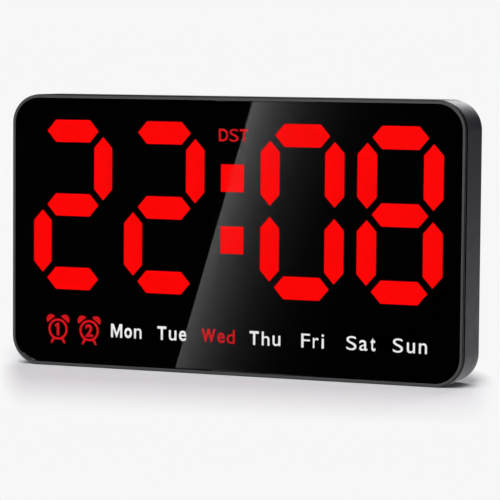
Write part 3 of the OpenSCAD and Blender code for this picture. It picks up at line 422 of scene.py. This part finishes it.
def solder_mask(name, colour, track):
    """Lacquered board with paler lines where the tracks run under the lacquer."""
    material, tree, shader = new_material(name)
    turn = tree.nodes.new("ShaderNodeMapping")
    turn.inputs["Rotation"].default_value = (math.radians(90), 0, 0)
    feed(tree, turn.inputs["Vector"], own_place(tree))
    tracks = tree.nodes.new("ShaderNodeTexBrick")
    tracks.inputs["Scale"].default_value = track_scale
    tracks.inputs["Mortar Size"].default_value = track_w
    tracks.inputs["Mortar Smooth"].default_value = track_blur
    feed(tree, tracks.inputs["Vector"], turn.outputs["Vector"])
    tone = mottled(tree, colour, board_waves, board_shade)
    feed(tree, shader.inputs["Base Color"], mixed(tree, tracks.outputs["Fac"], tone, track))
    feed(tree, shader.inputs["Roughness"], uneven(tree, lacquer_waves, *lacquer_gloss))
    raise_surface(tree, shader, tracks.outputs["Fac"], track_height)
    return material


def near_ends(place, low, high):
    """Whether a place lies in the leads, at either end of a chip."""
    return min(place - low, high - place) < lead_reach - tiny


chip_epoxy = moulded("chip_epoxy", epoxy_black, epoxy_rubbed, roughness=0.55, grain=0.01 * mm)
solder_metal = metal("solder_metal", solder_grey, roughness=0.32, scratches=800)
dress("led_board", solder_mask("circuit_board", mask_green, track_green))
for chip in ("controller_chip", "driver_chips"):
    low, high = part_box(chip)
    leads_on_ends = chip == "controller_chip"
    paint(
        dress(chip, chip_epoxy, solder_metal),
        1,
        lambda face: near_ends(face.center.z, low.z, high.z)
        or (leads_on_ends and near_ends(face.center.x, low.x, high.x)),
    )
dress("crystal", plated_steel)
sleeve = moulded(
    "capacitor_sleeve", sleeve_blue, sleeve_rubbed, roughness=0.32, grain=0.005 * mm
)
can_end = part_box("capacitors")[1].y
capacitors = dress("capacitors", sleeve, plated_steel)
paint(capacitors, 1, lambda face: face.center.y > can_end - tiny)
dress("buzzer", moulded(
    "buzzer_plastic", buzzer_black, buzzer_rubbed, roughness=0.4, grain=0.01 * mm
))
dress("led_chips", moulded(
    "led_package", phosphor, phosphor_rubbed, roughness=0.35, grain=0.005 * mm
))


# Reflector and diffusers: the white frame round the light wells, and the caps in their front ends.
# The lit caps glow red from the LEDs behind them. The dark ones are smoked and glossy, so that they
# read as the film.
red_light = (1.0, 0.0, 0.0)
cap_unlit, cap_waves, cap_glow, cap_peak = 0.2, 70, 0.84, 1.08
frost_roughness, frost_shine = 0.5, 0.1
haze_waves, haze_starts, haze_ends, most_haze = 25, 0.35, 0.75, 0.02
smoked = (0.0015, 0.0008, 0.0008)
reflector_white, reflector_rubbed = (0.78, 0.78, 0.77), (0.8, 0.8, 0.8)
milky, milky_rubbed = (0.7, 0.7, 0.68), (0.72, 0.72, 0.7)


def lit_face(name, colour, unlit_share, waves, weakest, strongest):
    """A frosted face with light behind it, a little stronger here and there."""
    material, tree, shader = new_material(name)
    feed(tree, shader.inputs["Base Color"], shaded(colour, unlit_share))
    feed(tree, shader.inputs["Emission Color"], colour)
    feed(tree, shader.inputs["Emission Strength"], uneven(tree, waves, weakest, strongest))
    shader.inputs["Roughness"].default_value = frost_roughness
    shader.inputs["Specular IOR Level"].default_value = frost_shine
    return material


def faint_haze(tree):
    """The roughness of a polished face, with haze here and there."""
    return ramp(tree, noise(tree, haze_waves), haze_starts, haze_ends, 0.0, most_haze)


def gloss_black(name, colour):
    """A black that mirrors, a little uneven in shade and with the faintest haze."""
    material, tree, shader = new_material(name)
    feed(tree, shader.inputs["Base Color"], mottled(tree, colour, black_waves, *black_range))
    feed(tree, shader.inputs["Roughness"], faint_haze(tree))
    return material


lit_red = lit_face("lit_diffuser", red_light, cap_unlit, cap_waves, cap_glow, cap_glow * cap_peak)
for digit in ("hour_tens", "hour_units", "minute_tens", "minute_units"):
    dress(digit + "_segments", lit_red)
dress("colon_dots", lit_red)
dress("unlit_segments", gloss_black("dark_diffuser", smoked))
dress("label_diffusers", moulded(
    "label_diffuser", milky, milky_rubbed, roughness=0.45, grain=0.005 * mm
))
dress("reflector_frame", moulded(
    "white_plastic", reflector_white, reflector_rubbed, roughness=0.42, grain=0.01 * mm
))


# Mask: a glossy black polyester film, die-cut with a window for each segment and colon dot. It is
# stuck to the front of the reflector, right behind the lens.
film_black = (0.0008, 0.0008, 0.0008)
dress("mask_film", gloss_black("mask_film", film_black))


# Printed words: the seven weekdays and the summer-time sign, in ink on the front of the mask, lit
# from behind. Today's name and the summer-time sign are red, the others white. The letters are
# bold and narrow, and each word is spaced out to its printed width.
white_glow, red_glow = (0.80, 0.80, 0.80), (0.55, 0.006, 0.009)
ink_unlit, ink_waves, ink_weakest = 0.15, 900, 0.9
film_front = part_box("mask_film")[0].y
lens_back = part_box("front_lens")[1].y
ink_y = (film_front + lens_back) / 2
ink_t = 0.03 * mm
day_cap, day_base = 7.0 * mm, 16.05 * mm
day_first, day_pitch = -58.0 * mm, 25.45 * mm
day_widths = {
    "Mon": 17.2, "Tue": 16.0, "Wed": 18.3, "Thu": 16.6, "Fri": 12.0, "Sat": 15.1, "Sun": 17.6,
}
today = "Wed"
summer_word, summer_w, summer_cap = "DST", 15.9 * mm, 6.4 * mm
summer_x, summer_base = 0.5 * mm, 117.65 * mm
letter_widths = {
    "M": 0.91, "W": 1.12, "T": 0.71, "F": 0.66, "S": 0.75, "D": 0.79, "o": 0.60, "n": 0.60,
    "u": 0.60, "e": 0.57, "d": 0.64, "h": 0.60, "r": 0.44, "i": 0.17, "a": 0.61, "t": 0.37,
}
letter_heights = {
    "o": 0.76, "n": 0.75, "e": 0.76, "u": 0.75, "r": 0.75, "a": 0.76, "t": 0.95,
}
stroke_share = 0.17
fine_letters, fine_share = "rt", 0.135
dot_share, dot_gap = 0.16, 0.13
font_stem = 0.098


def letter_shape(character, growth):
    """The built-in font's character as a flat mesh, its strokes grown, and its two corners."""
    bpy.ops.object.select_all(action="DESELECT")
    bpy.ops.object.text_add()
    bpy.context.object.data.body = character
    bpy.context.object.data.offset = growth
    bpy.ops.object.convert(target="MESH")
    letter = bpy.context.object
    xs, ys, _ = zip(*[corner.co for corner in letter.data.vertices])
    return letter, Vector((min(xs), min(ys))), Vector((max(xs), max(ys)))


def print_letter(character, left, base, width, height, stroke):
    """One flat letter of that width, height and stroke, with its left edge and foot there."""
    thin, low, high = letter_shape(character, 0)
    bpy.data.objects.remove(thin)
    stretch = (width - stroke) / (high.x - low.x - font_stem)
    letter, low, high = letter_shape(character, max(stroke / stretch - font_stem, 0) / 2)
    letter.scale = (width / (high.x - low.x), height / (high.y - low.y), 1)
    letter.location = (left - low.x * letter.scale.x, base - low.y * letter.scale.y, 0)
    return settle(letter)


def print_bar(width, length, middle, angle=0):
    """One flat bar about its middle, turned by an angle."""
    bpy.ops.object.select_all(action="DESELECT")
    bpy.ops.mesh.primitive_plane_add(size=1, location=(*middle, 0))
    bar = bpy.context.object
    bar.scale = (width, length, 1)
    bar.rotation_euler = (0, 0, math.radians(angle))
    return settle(bar)


def print_word(letters, width, cap):
    """A word's letters, spaced out to its width about the middle, as groups of flat pieces."""
    stroke = stroke_share * cap
    ink_width = sum(letter_widths[character] for character in letters) * cap
    gap = (width - ink_width) / (len(letters) - 1)
    left = -width / 2
    word = []
    for character in letters:
        reach = letter_widths[character] * cap
        height = letter_heights.get(character, 1) * cap
        if character == "M":
            stems = [
                print_bar(stroke, cap, (stem, cap / 2))
                for stem in (left + stroke / 2, left + reach - stroke / 2)
            ]
            valley = print_letter("V", left + stroke / 4, 0, reach - stroke / 2, cap, stroke)
            word.append([valley, *stems])
        elif character == "i":
            dot = dot_share * cap
            stem = cap - dot - dot_gap * cap
            word.append([print_bar(reach, stem, (left + reach / 2, stem / 2))])
            word.append([print_bar(reach, dot, (left + reach / 2, cap - dot / 2))])
        else:
            pen = fine_share * cap if character in fine_letters else stroke
            word.append([print_letter(character, left, 0, reach, height, pen)])
        left += reach + gap
    return word


def unite(pieces):
    """Gives flat pieces the ink's thickness, and makes one of those that overlap."""
    for piece in pieces:
        bpy.context.view_layer.objects.active = piece
        thicken = piece.modifiers.new("ink", "SOLIDIFY")
        thicken.thickness = ink_t
        thicken.offset = 0
        bpy.ops.object.modifier_apply(modifier="ink")
    first, *others = pieces
    bpy.context.view_layer.objects.active = first
    for other in others:
        union = first.modifiers.new("union", "BOOLEAN")
        union.operation = "UNION"
        union.object = other
        bpy.ops.object.modifier_apply(modifier="union")
        bpy.data.objects.remove(other)
    return first


def set_print(name, groups, middle, base, ink, y=ink_y):
    """Joins groups of flat pieces into one print, and stands it up in the panel."""
    solids = [unite(group) for group in groups]
    bpy.ops.object.select_all(action="DESELECT")
    for solid in solids:
        solid.select_set(True)
    printed = solids[0]
    bpy.context.view_layer.objects.active = printed
    bpy.ops.object.join()
    printed.name = name
    printed.rotation_euler = (math.radians(90), 0, 0)
    printed.location = (middle, y, base)
    settle(printed)
    printed.data.materials.clear()
    printed.data.materials.append(ink)
    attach(printed, "clock")


white_ink = lit_face("white_ink", white_glow, ink_unlit, ink_waves, ink_weakest, 1.0)
red_ink = lit_face("red_ink", red_glow, ink_unlit, ink_waves, ink_weakest, 1.0)
for place, (day, width) in enumerate(day_widths.items()):
    word = print_word(day, width * mm, day_cap)
    ink = red_ink if day == today else white_ink
    set_print("day_" + day.lower(), word, day_first + place * day_pitch, day_base, ink)
summer_letters = print_word(summer_word, summer_w, summer_cap)
set_print("summer_sign", summer_letters, summer_x, summer_base, red_ink)


# Alarm signs: two pictures of a twin-bell clock, numbered 1 and 2, in the same red ink as the
# words. Each is a ring with its number, two bells and two feet, printed beside the weekdays.
ring_r, ring_w, ring_sides = 5.5 * mm, 1.2 * mm, 56
bell_r, bell_out, bell_angle, bell_sides = 2.7 * mm, 6.3 * mm, 38, 40
foot_l, foot_w, foot_angle, foot_taper = 3.4 * mm, 1.8 * mm, 28, 0.5
number_w, number_cap, number_stroke = 4.4 * mm, 6.6 * mm, 1.5 * mm
flag_l, flag_w, flag_angle = 2 * mm, 1.1 * mm, 35
sign_places = {"1": (-96.8 * mm, 18.85 * mm), "2": (-79.0 * mm, 18.85 * mm)}


def turn_about_ring(piece, angle):
    """Turns a flat piece about the middle of its sign."""
    piece.matrix_world = Matrix.Rotation(math.radians(angle), 4, "Z")
    return settle(piece)


def print_disc(radius, sides, middle):
    """A flat disc, alone and selected."""
    bpy.ops.object.select_all(action="DESELECT")
    bpy.ops.mesh.primitive_circle_add(
        vertices=sides, radius=radius, fill_type="NGON", location=(*middle, 0)
    )
    return settle(bpy.context.object)


def hollow_out(piece, wall):
    """Leaves only a wall along the edge of a flat piece of one face."""
    bpy.ops.object.mode_set(mode="EDIT")
    bpy.ops.mesh.select_all(action="SELECT")
    bpy.ops.mesh.inset(thickness=wall, depth=0)
    bpy.ops.mesh.delete(type="FACE")
    bpy.ops.object.mode_set(mode="OBJECT")
    return piece


def print_bell(angle):
    """One bell: a half disc, flat towards the case."""
    bell = print_disc(bell_r, bell_sides, (0, bell_out))
    bpy.ops.object.mode_set(mode="EDIT")
    bpy.ops.mesh.select_all(action="SELECT")
    bpy.ops.mesh.bisect(plane_co=(0, bell_out, 0), plane_no=(0, 1, 0), clear_inner=True)
    bpy.ops.object.mode_set(mode="OBJECT")
    return turn_about_ring(bell, angle)


def print_foot(angle):
    """One foot: a bar that narrows away from the case."""
    top = ring_w / 2 - ring_r
    foot = print_bar(foot_w, foot_l, (0, top - foot_l / 2))
    pick_edges(foot, lambda one, other: max(one.y, other.y) < top - foot_l / 2)
    bpy.ops.transform.resize(value=(foot_taper, 1, 1))
    bpy.ops.object.mode_set(mode="OBJECT")
    return turn_about_ring(foot, angle)


def print_number(number):
    """The alarm's number in the middle of the case. A 1 is a stem with a flag."""
    if number != "1":
        left, base = -number_w / 2, -number_cap / 2
        return [print_letter(number, left, base, number_w, number_cap, number_stroke)]
    flag_middle = (-flag_l / 2, number_cap / 2 - flag_w)
    return [
        print_bar(number_stroke, number_cap, (0, 0)),
        print_bar(flag_l, flag_w, flag_middle, flag_angle),
    ]


for number, (middle, height) in sign_places.items():
    bells = [[print_bell(side * bell_angle)] for side in (-1, 1)]
    feet = [print_foot(side * foot_angle) for side in (-1, 1)]
    ring = hollow_out(print_disc(ring_r, ring_sides, (0, 0)), ring_w)
    sign = [[ring, *feet], *bells, print_number(number)]
    set_print("alarm_sign_" + number, sign, middle, height, red_ink)


# Front lens: a sheet of clear acrylic, polished and coated against reflections, with a fine bevel
# round its front. It is taped into the bezel's pocket, a little below the rim.
clear = (0.97, 0.97, 0.975)
coated_index = 1.1


def acrylic(name, colour):
    """Clear polished plastic with the faintest haze. A low index stands in for its coating."""
    material, tree, shader = new_material(name)
    feed(tree, shader.inputs["Base Color"], colour)
    shader.inputs["Transmission Weight"].default_value = 1.0
    shader.inputs["IOR"].default_value = coated_index
    feed(tree, shader.inputs["Roughness"], faint_haze(tree))
    return material


dress("front_lens", acrylic("lens_acrylic", clear))


# Lens border: a frame of glossy black ink, printed round the back of the lens. It hides the ledge
# that carries the lens and laps over the mask's edge, so that the panel is black up to the rim.
edge_clear, mask_lap, sunk = 0.1 * mm, 0.5 * mm, 0.02 * mm
lens_corner, lens_steps = 13.2 * mm, 16
border_y = lens_back - sunk
lens_low, lens_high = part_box("front_lens")
lens_border_w = lens_high.x - lens_low.x - 2 * edge_clear
lens_border_h = lens_high.z - lens_low.z - 2 * edge_clear
lens_border_reach = lens_high.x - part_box("mask_film")[1].x - edge_clear + mask_lap
border = print_bar(lens_border_w, lens_border_h, (0, lens_border_h / 2))
bpy.ops.object.mode_set(mode="EDIT")
bpy.ops.mesh.select_all(action="SELECT")
bpy.ops.mesh.bevel(offset=lens_corner - edge_clear, segments=lens_steps, affect="VERTICES")
hollow_out(border, lens_border_reach)
border_black = gloss_black("border_black", film_black)
border_base = lens_low.z + edge_clear
set_print("lens_border", [[border]], 0, border_base, border_black, border_y)


# Bezel: a frame moulded in black ABS. The front of its rim is sprayed satin grey, and its sides are
# bare black plastic, made darker still as painted shade beside the rim. Behind the rim its tongue,
# in the groove before the housing, is painted near-black as the groove's shade, and black tape on
# its ledge holds the lens.
rim_grey, rim_rubbed = (0.064, 0.063, 0.067), (0.16, 0.16, 0.165)
bare_black_and_shade, bare_rubbed = (0.0035, 0.0034, 0.0039), (0.012, 0.012, 0.0125)
rim_side = 1.2 * mm
sprayed = 0.9
rim_plastic = moulded("rim_plastic", rim_grey, rim_rubbed, roughness=0.36, grain=0.012 * mm)
bare_and_shade_plastic = moulded(
    "bezel_plastic", bare_black_and_shade, bare_rubbed, roughness=0.5, grain=0.012 * mm, reach=0.2 * mm
)
black_tape = gloss_black("black_tape", film_black)
bezel = dress("bezel_frame", rim_plastic, groove_painted_shade, black_tape, bare_and_shade_plastic)
# The bezel's sides get the bare black, darkened further as painted shade beside the rim and the
# groove.
paint(bezel, 3, lambda face: face.normal.y > -sprayed)
# The bezel's faces behind the rim, in the groove, get the same painted shade.
paint(bezel, 1, lambda face: face.center.y > cad_low.y + rim_side - tiny)
paint(bezel, 2, lambda face: face.normal.y < -square_on and abs(face.center.y - lens_back) < tiny)


# Camera: the photograph's view, from the right and a little above, with a long lens and a slight
# roll. Its place and lens were found from the outline's corners.
view_azimuth, view_elevation, view_roll = map(math.radians, (21.995, 4.349, 0.475))
view_target = Vector((10.58, -13.5, 63.82)) * mm
view_distance = 1285.08 * mm
camera_lens, camera_sensor, camera_near = 185.2, 36, 0.01
right = Vector((math.cos(view_azimuth), math.sin(view_azimuth), 0))
forward = Vector((
    -math.sin(view_azimuth) * math.cos(view_elevation),
    math.cos(view_azimuth) * math.cos(view_elevation),
    -math.sin(view_elevation),
))
up = right.cross(forward)
camera_right = math.cos(view_roll) * right + math.sin(view_roll) * up
camera_up = math.cos(view_roll) * up - math.sin(view_roll) * right
eye = view_target - forward * view_distance
bpy.ops.object.camera_add()
camera = bpy.context.object
camera.data.lens = camera_lens
camera.data.sensor_width = camera_sensor
camera.data.clip_start = camera_near
camera_turn = Matrix((camera_right, camera_up, -forward)).transposed()
camera.matrix_world = Matrix.Translation(eye) @ camera_turn.to_4x4()
bpy.context.scene.camera = camera


# Floor: a pale sheet that the clock stands on. It takes the clock's shadow, and away from the clock
# it glows white for the camera and mirrors, a painted light that fades the shadow out into the
# background.
background_white = 0.93
floor_pale, floor_roughness, floor_size = (0.925, 0.912, 0.955), 0.9, 16
shadow_starts, shadow_ends = 45 * mm, 165 * mm
sideways, rearward = 11.4, 3
left_in, right_in = 9 * mm, 6.5 * mm
shadow_front = Vector((-70 * mm, cad_low.y, 0))
shadow_way = Vector((0.2, -1, 0))


def seen_ray(tree):
    """1 for what the camera, a mirror or a glass sees, and 0 for light on the object."""
    rays = tree.nodes.new("ShaderNodeLightPath").outputs
    mirrored = calculate(tree, "MAXIMUM", rays["Is Camera Ray"], rays["Is Glossy Ray"])
    return calculate(tree, "MAXIMUM", mirrored, rays["Is Transmission Ray"])


def beyond(tree, point, way):
    """How far a place on the floor lies beyond a point, along a way."""
    offset = vector_step(tree, "SUBTRACT", own_place(tree), point)
    return vector_step(tree, "DOT_PRODUCT", offset, way)


def farthest(tree, first, second):
    """The larger of two distances, and never less than 0."""
    return calculate(tree, "MAXIMUM", calculate(tree, "MAXIMUM", first, second), 0.0)


def across_view(point):
    """The level direction to the right of the line from the eye to a point."""
    return Vector((point.y - eye.y, eye.x - point.x, 0)).normalized()


bpy.ops.object.select_all(action="DESELECT")
bpy.ops.mesh.primitive_plane_add(size=floor_size)
floor = bpy.context.object
floor.name = "floor"
material, tree, shader = new_material("pale_floor")
feed(tree, shader.inputs["Base Color"], floor_pale)
shader.inputs["Roughness"].default_value = floor_roughness
shader.inputs["Specular IOR Level"].default_value = 0.0
left_end = Vector((cad_low.x + left_in, cad_low.y, 0))
right_end = Vector((cad_high.x - right_in, cad_high.y, 0))
outside = tree.nodes.new("ShaderNodeCombineXYZ")
feed(tree, outside.inputs["X"], farthest(
    tree,
    beyond(tree, left_end, -across_view(left_end) * sideways),
    beyond(tree, right_end, across_view(right_end) * sideways),
))
feed(tree, outside.inputs["Y"], farthest(
    tree,
    beyond(tree, shadow_front, shadow_way),
    beyond(tree, cad_high, Vector((0, rearward, 0))),
))
away = vector_step(tree, "LENGTH", outside.outputs["Vector"])
far = ramp(tree, away, shadow_starts, shadow_ends, 0.0, 1.0)
glow = tree.nodes.new("ShaderNodeEmission")
feed(tree, glow.inputs["Color"], (background_white,) * 3)
fade = tree.nodes.new("ShaderNodeMixShader")
feed(tree, fade.inputs["Fac"], calculate(tree, "MULTIPLY", far, seen_ray(tree)))
feed(tree, fade.inputs[1], shader.outputs["BSDF"])
feed(tree, fade.inputs[2], glow.outputs["Emission"])
feed(tree, tree.nodes["Material Output"].inputs["Surface"], fade.outputs["Shader"])
floor.data.materials.append(material)
floor.visible_glossy = False
floor.visible_transmission = False


# Studio light: a large soft box in front, a smaller one behind that throws the shadow forwards,
# and a weak even surround. Black flags keep the gloss dark. The film mirrors a strip of light as a
# slanting sheen, and the housing's upper corner mirrors a white card between the two flags behind.
surround_glow = 0.12
front_place, front_size, front_watts = (0.0, -1.2, 1.25), 1.4, 27
rear_place, rear_size, rear_watts = (-0.1, 1.2, 1.1), 0.9, 12
lit_point = Vector((0, 0, 0.05))
front_y, front_z, front_sheet = -1.6, -4, (24, 14)
rear_y, rear_z, rear_sheet = 1.9, 1.95, (6.0, 4.2)
gap_left, gap_right = -0.38, 0.12
card_z, card_h, card_glow = 0.8, 1.2, 5.2
card_gap = 20 * mm
strip_low, strip_high = 1.35, 2.05
strip_fade = 32 * mm
sheen_top = Vector((10.9 * mm, 0, 138.4 * mm))
sheen_foot = Vector((-30.9 * mm, 0, 0.6 * mm))
mirror_eye = Vector((eye.x, 2 * film_front - eye.y, eye.z))


def soft_box(place, size, watts):
    """A square soft box that faces the clock."""
    bpy.ops.object.light_add(type="AREA", location=place)
    box = bpy.context.object
    box.data.shape = "SQUARE"
    box.data.size = size
    box.data.energy = watts
    box.rotation_euler = (lit_point - box.location).to_track_quat("-Z", "Y").to_euler()
    return box


def on_flag(point):
    """Where the front flag is seen in the film, at a point of the film."""
    share = (front_y - mirror_eye.y) / (film_front - mirror_eye.y)
    return mirror_eye + (Vector((point.x, film_front, point.z)) - mirror_eye) * share


def light_card(name, size, middle, tilt=0):
    """An upright card that only mirrors and glass see."""
    bpy.ops.object.select_all(action="DESELECT")
    bpy.ops.mesh.primitive_plane_add(size=1, location=middle)
    card = bpy.context.object
    card.name = name
    card.scale = (*size, 1)
    bpy.ops.object.transform_apply(location=False, rotation=False, scale=True)
    card.rotation_euler = (math.radians(90), tilt, 0)
    card.visible_camera = False
    card.visible_diffuse = False
    card.visible_shadow = False
    return card


def card_face(name, brightness):
    """A face that sends out its own light and returns none."""
    material, tree, shader = new_material(name)
    feed(tree, shader.inputs["Base Color"], (0, 0, 0))
    shader.inputs["Specular IOR Level"].default_value = 0.0
    feed(tree, shader.inputs["Emission Color"], (1, 1, 1))
    shader.inputs["Emission Strength"].default_value = brightness
    return material


world = bpy.data.worlds.new("studio")
bpy.context.scene.world = world
world.use_nodes = True
tree = world.node_tree
surround = tree.nodes["Background"]
feed(tree, surround.inputs["Color"], (1, 1, 1))
surround_level = ramp(tree, seen_ray(tree), 0.0, 1.0, surround_glow, background_white)
feed(tree, surround.inputs["Strength"], surround_level)
soft_box(front_place, front_size, front_watts)
rear_box = soft_box(rear_place, rear_size, rear_watts)
rear_box.visible_glossy = False

right_x, left_x = gap_right + rear_sheet[0] / 2, gap_left - rear_sheet[0] / 2
front_flag = light_card("front_flag", front_sheet, (0, front_y - card_gap, front_z))
right_flag = light_card("right_flag", rear_sheet, (right_x, rear_y, rear_z))
left_flag = light_card("left_flag", rear_sheet, (left_x, rear_y, rear_z))
flag_black = card_face("flag_black", 0.0)
for flag in (front_flag, right_flag, left_flag):
    flag.data.materials.append(flag_black)
card_size = (gap_right - gap_left, card_h)
card_middle = ((gap_left + gap_right) / 2, rear_y - card_gap, card_z)
rear_card = light_card("rear_card", card_size, card_middle)
rear_card.data.materials.append(card_face("card_white", card_glow))

strip_top, strip_foot = on_flag(sheen_top), on_flag(sheen_foot)
strip_run = strip_top - strip_foot
strip_tilt = math.atan2(strip_run.x, strip_run.z)
strip_w, strip_h = 10 * strip_fade, 3 * strip_run.length
strip_across = Vector((math.cos(strip_tilt), 0, -math.sin(strip_tilt)))
strip_middle = (strip_top + strip_foot) / 2 + strip_across * strip_w / 2
strip = light_card("light_strip", (strip_w, strip_h), strip_middle, strip_tilt)
material, tree, _ = new_material("strip_light")
across = tree.nodes.new("ShaderNodeSeparateXYZ")
feed(tree, across.inputs["Vector"], own_place(tree))
steps = ramp(tree, across.outputs["X"], -strip_w / 2, strip_w / 2, 0.0, -strip_w / strip_fade)
fading = calculate(tree, "EXPONENT", steps, 0.0)
half_run = strip_run.length / 2
height = ramp(tree, across.outputs["Y"], -half_run, half_run, strip_low, strip_high)
light = tree.nodes.new("ShaderNodeEmission")
feed(tree, light.inputs["Strength"], calculate(tree, "MULTIPLY", fading, height))
feed(tree, tree.nodes["Material Output"].inputs["Surface"], light.outputs["Emission"])
strip.data.materials.append(material)
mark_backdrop(floor, front_flag, right_flag, left_flag, rear_card, strip)


# Size: the object's box as it is dressed, in metres. The CAD's own box was found at the start.
low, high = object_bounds()
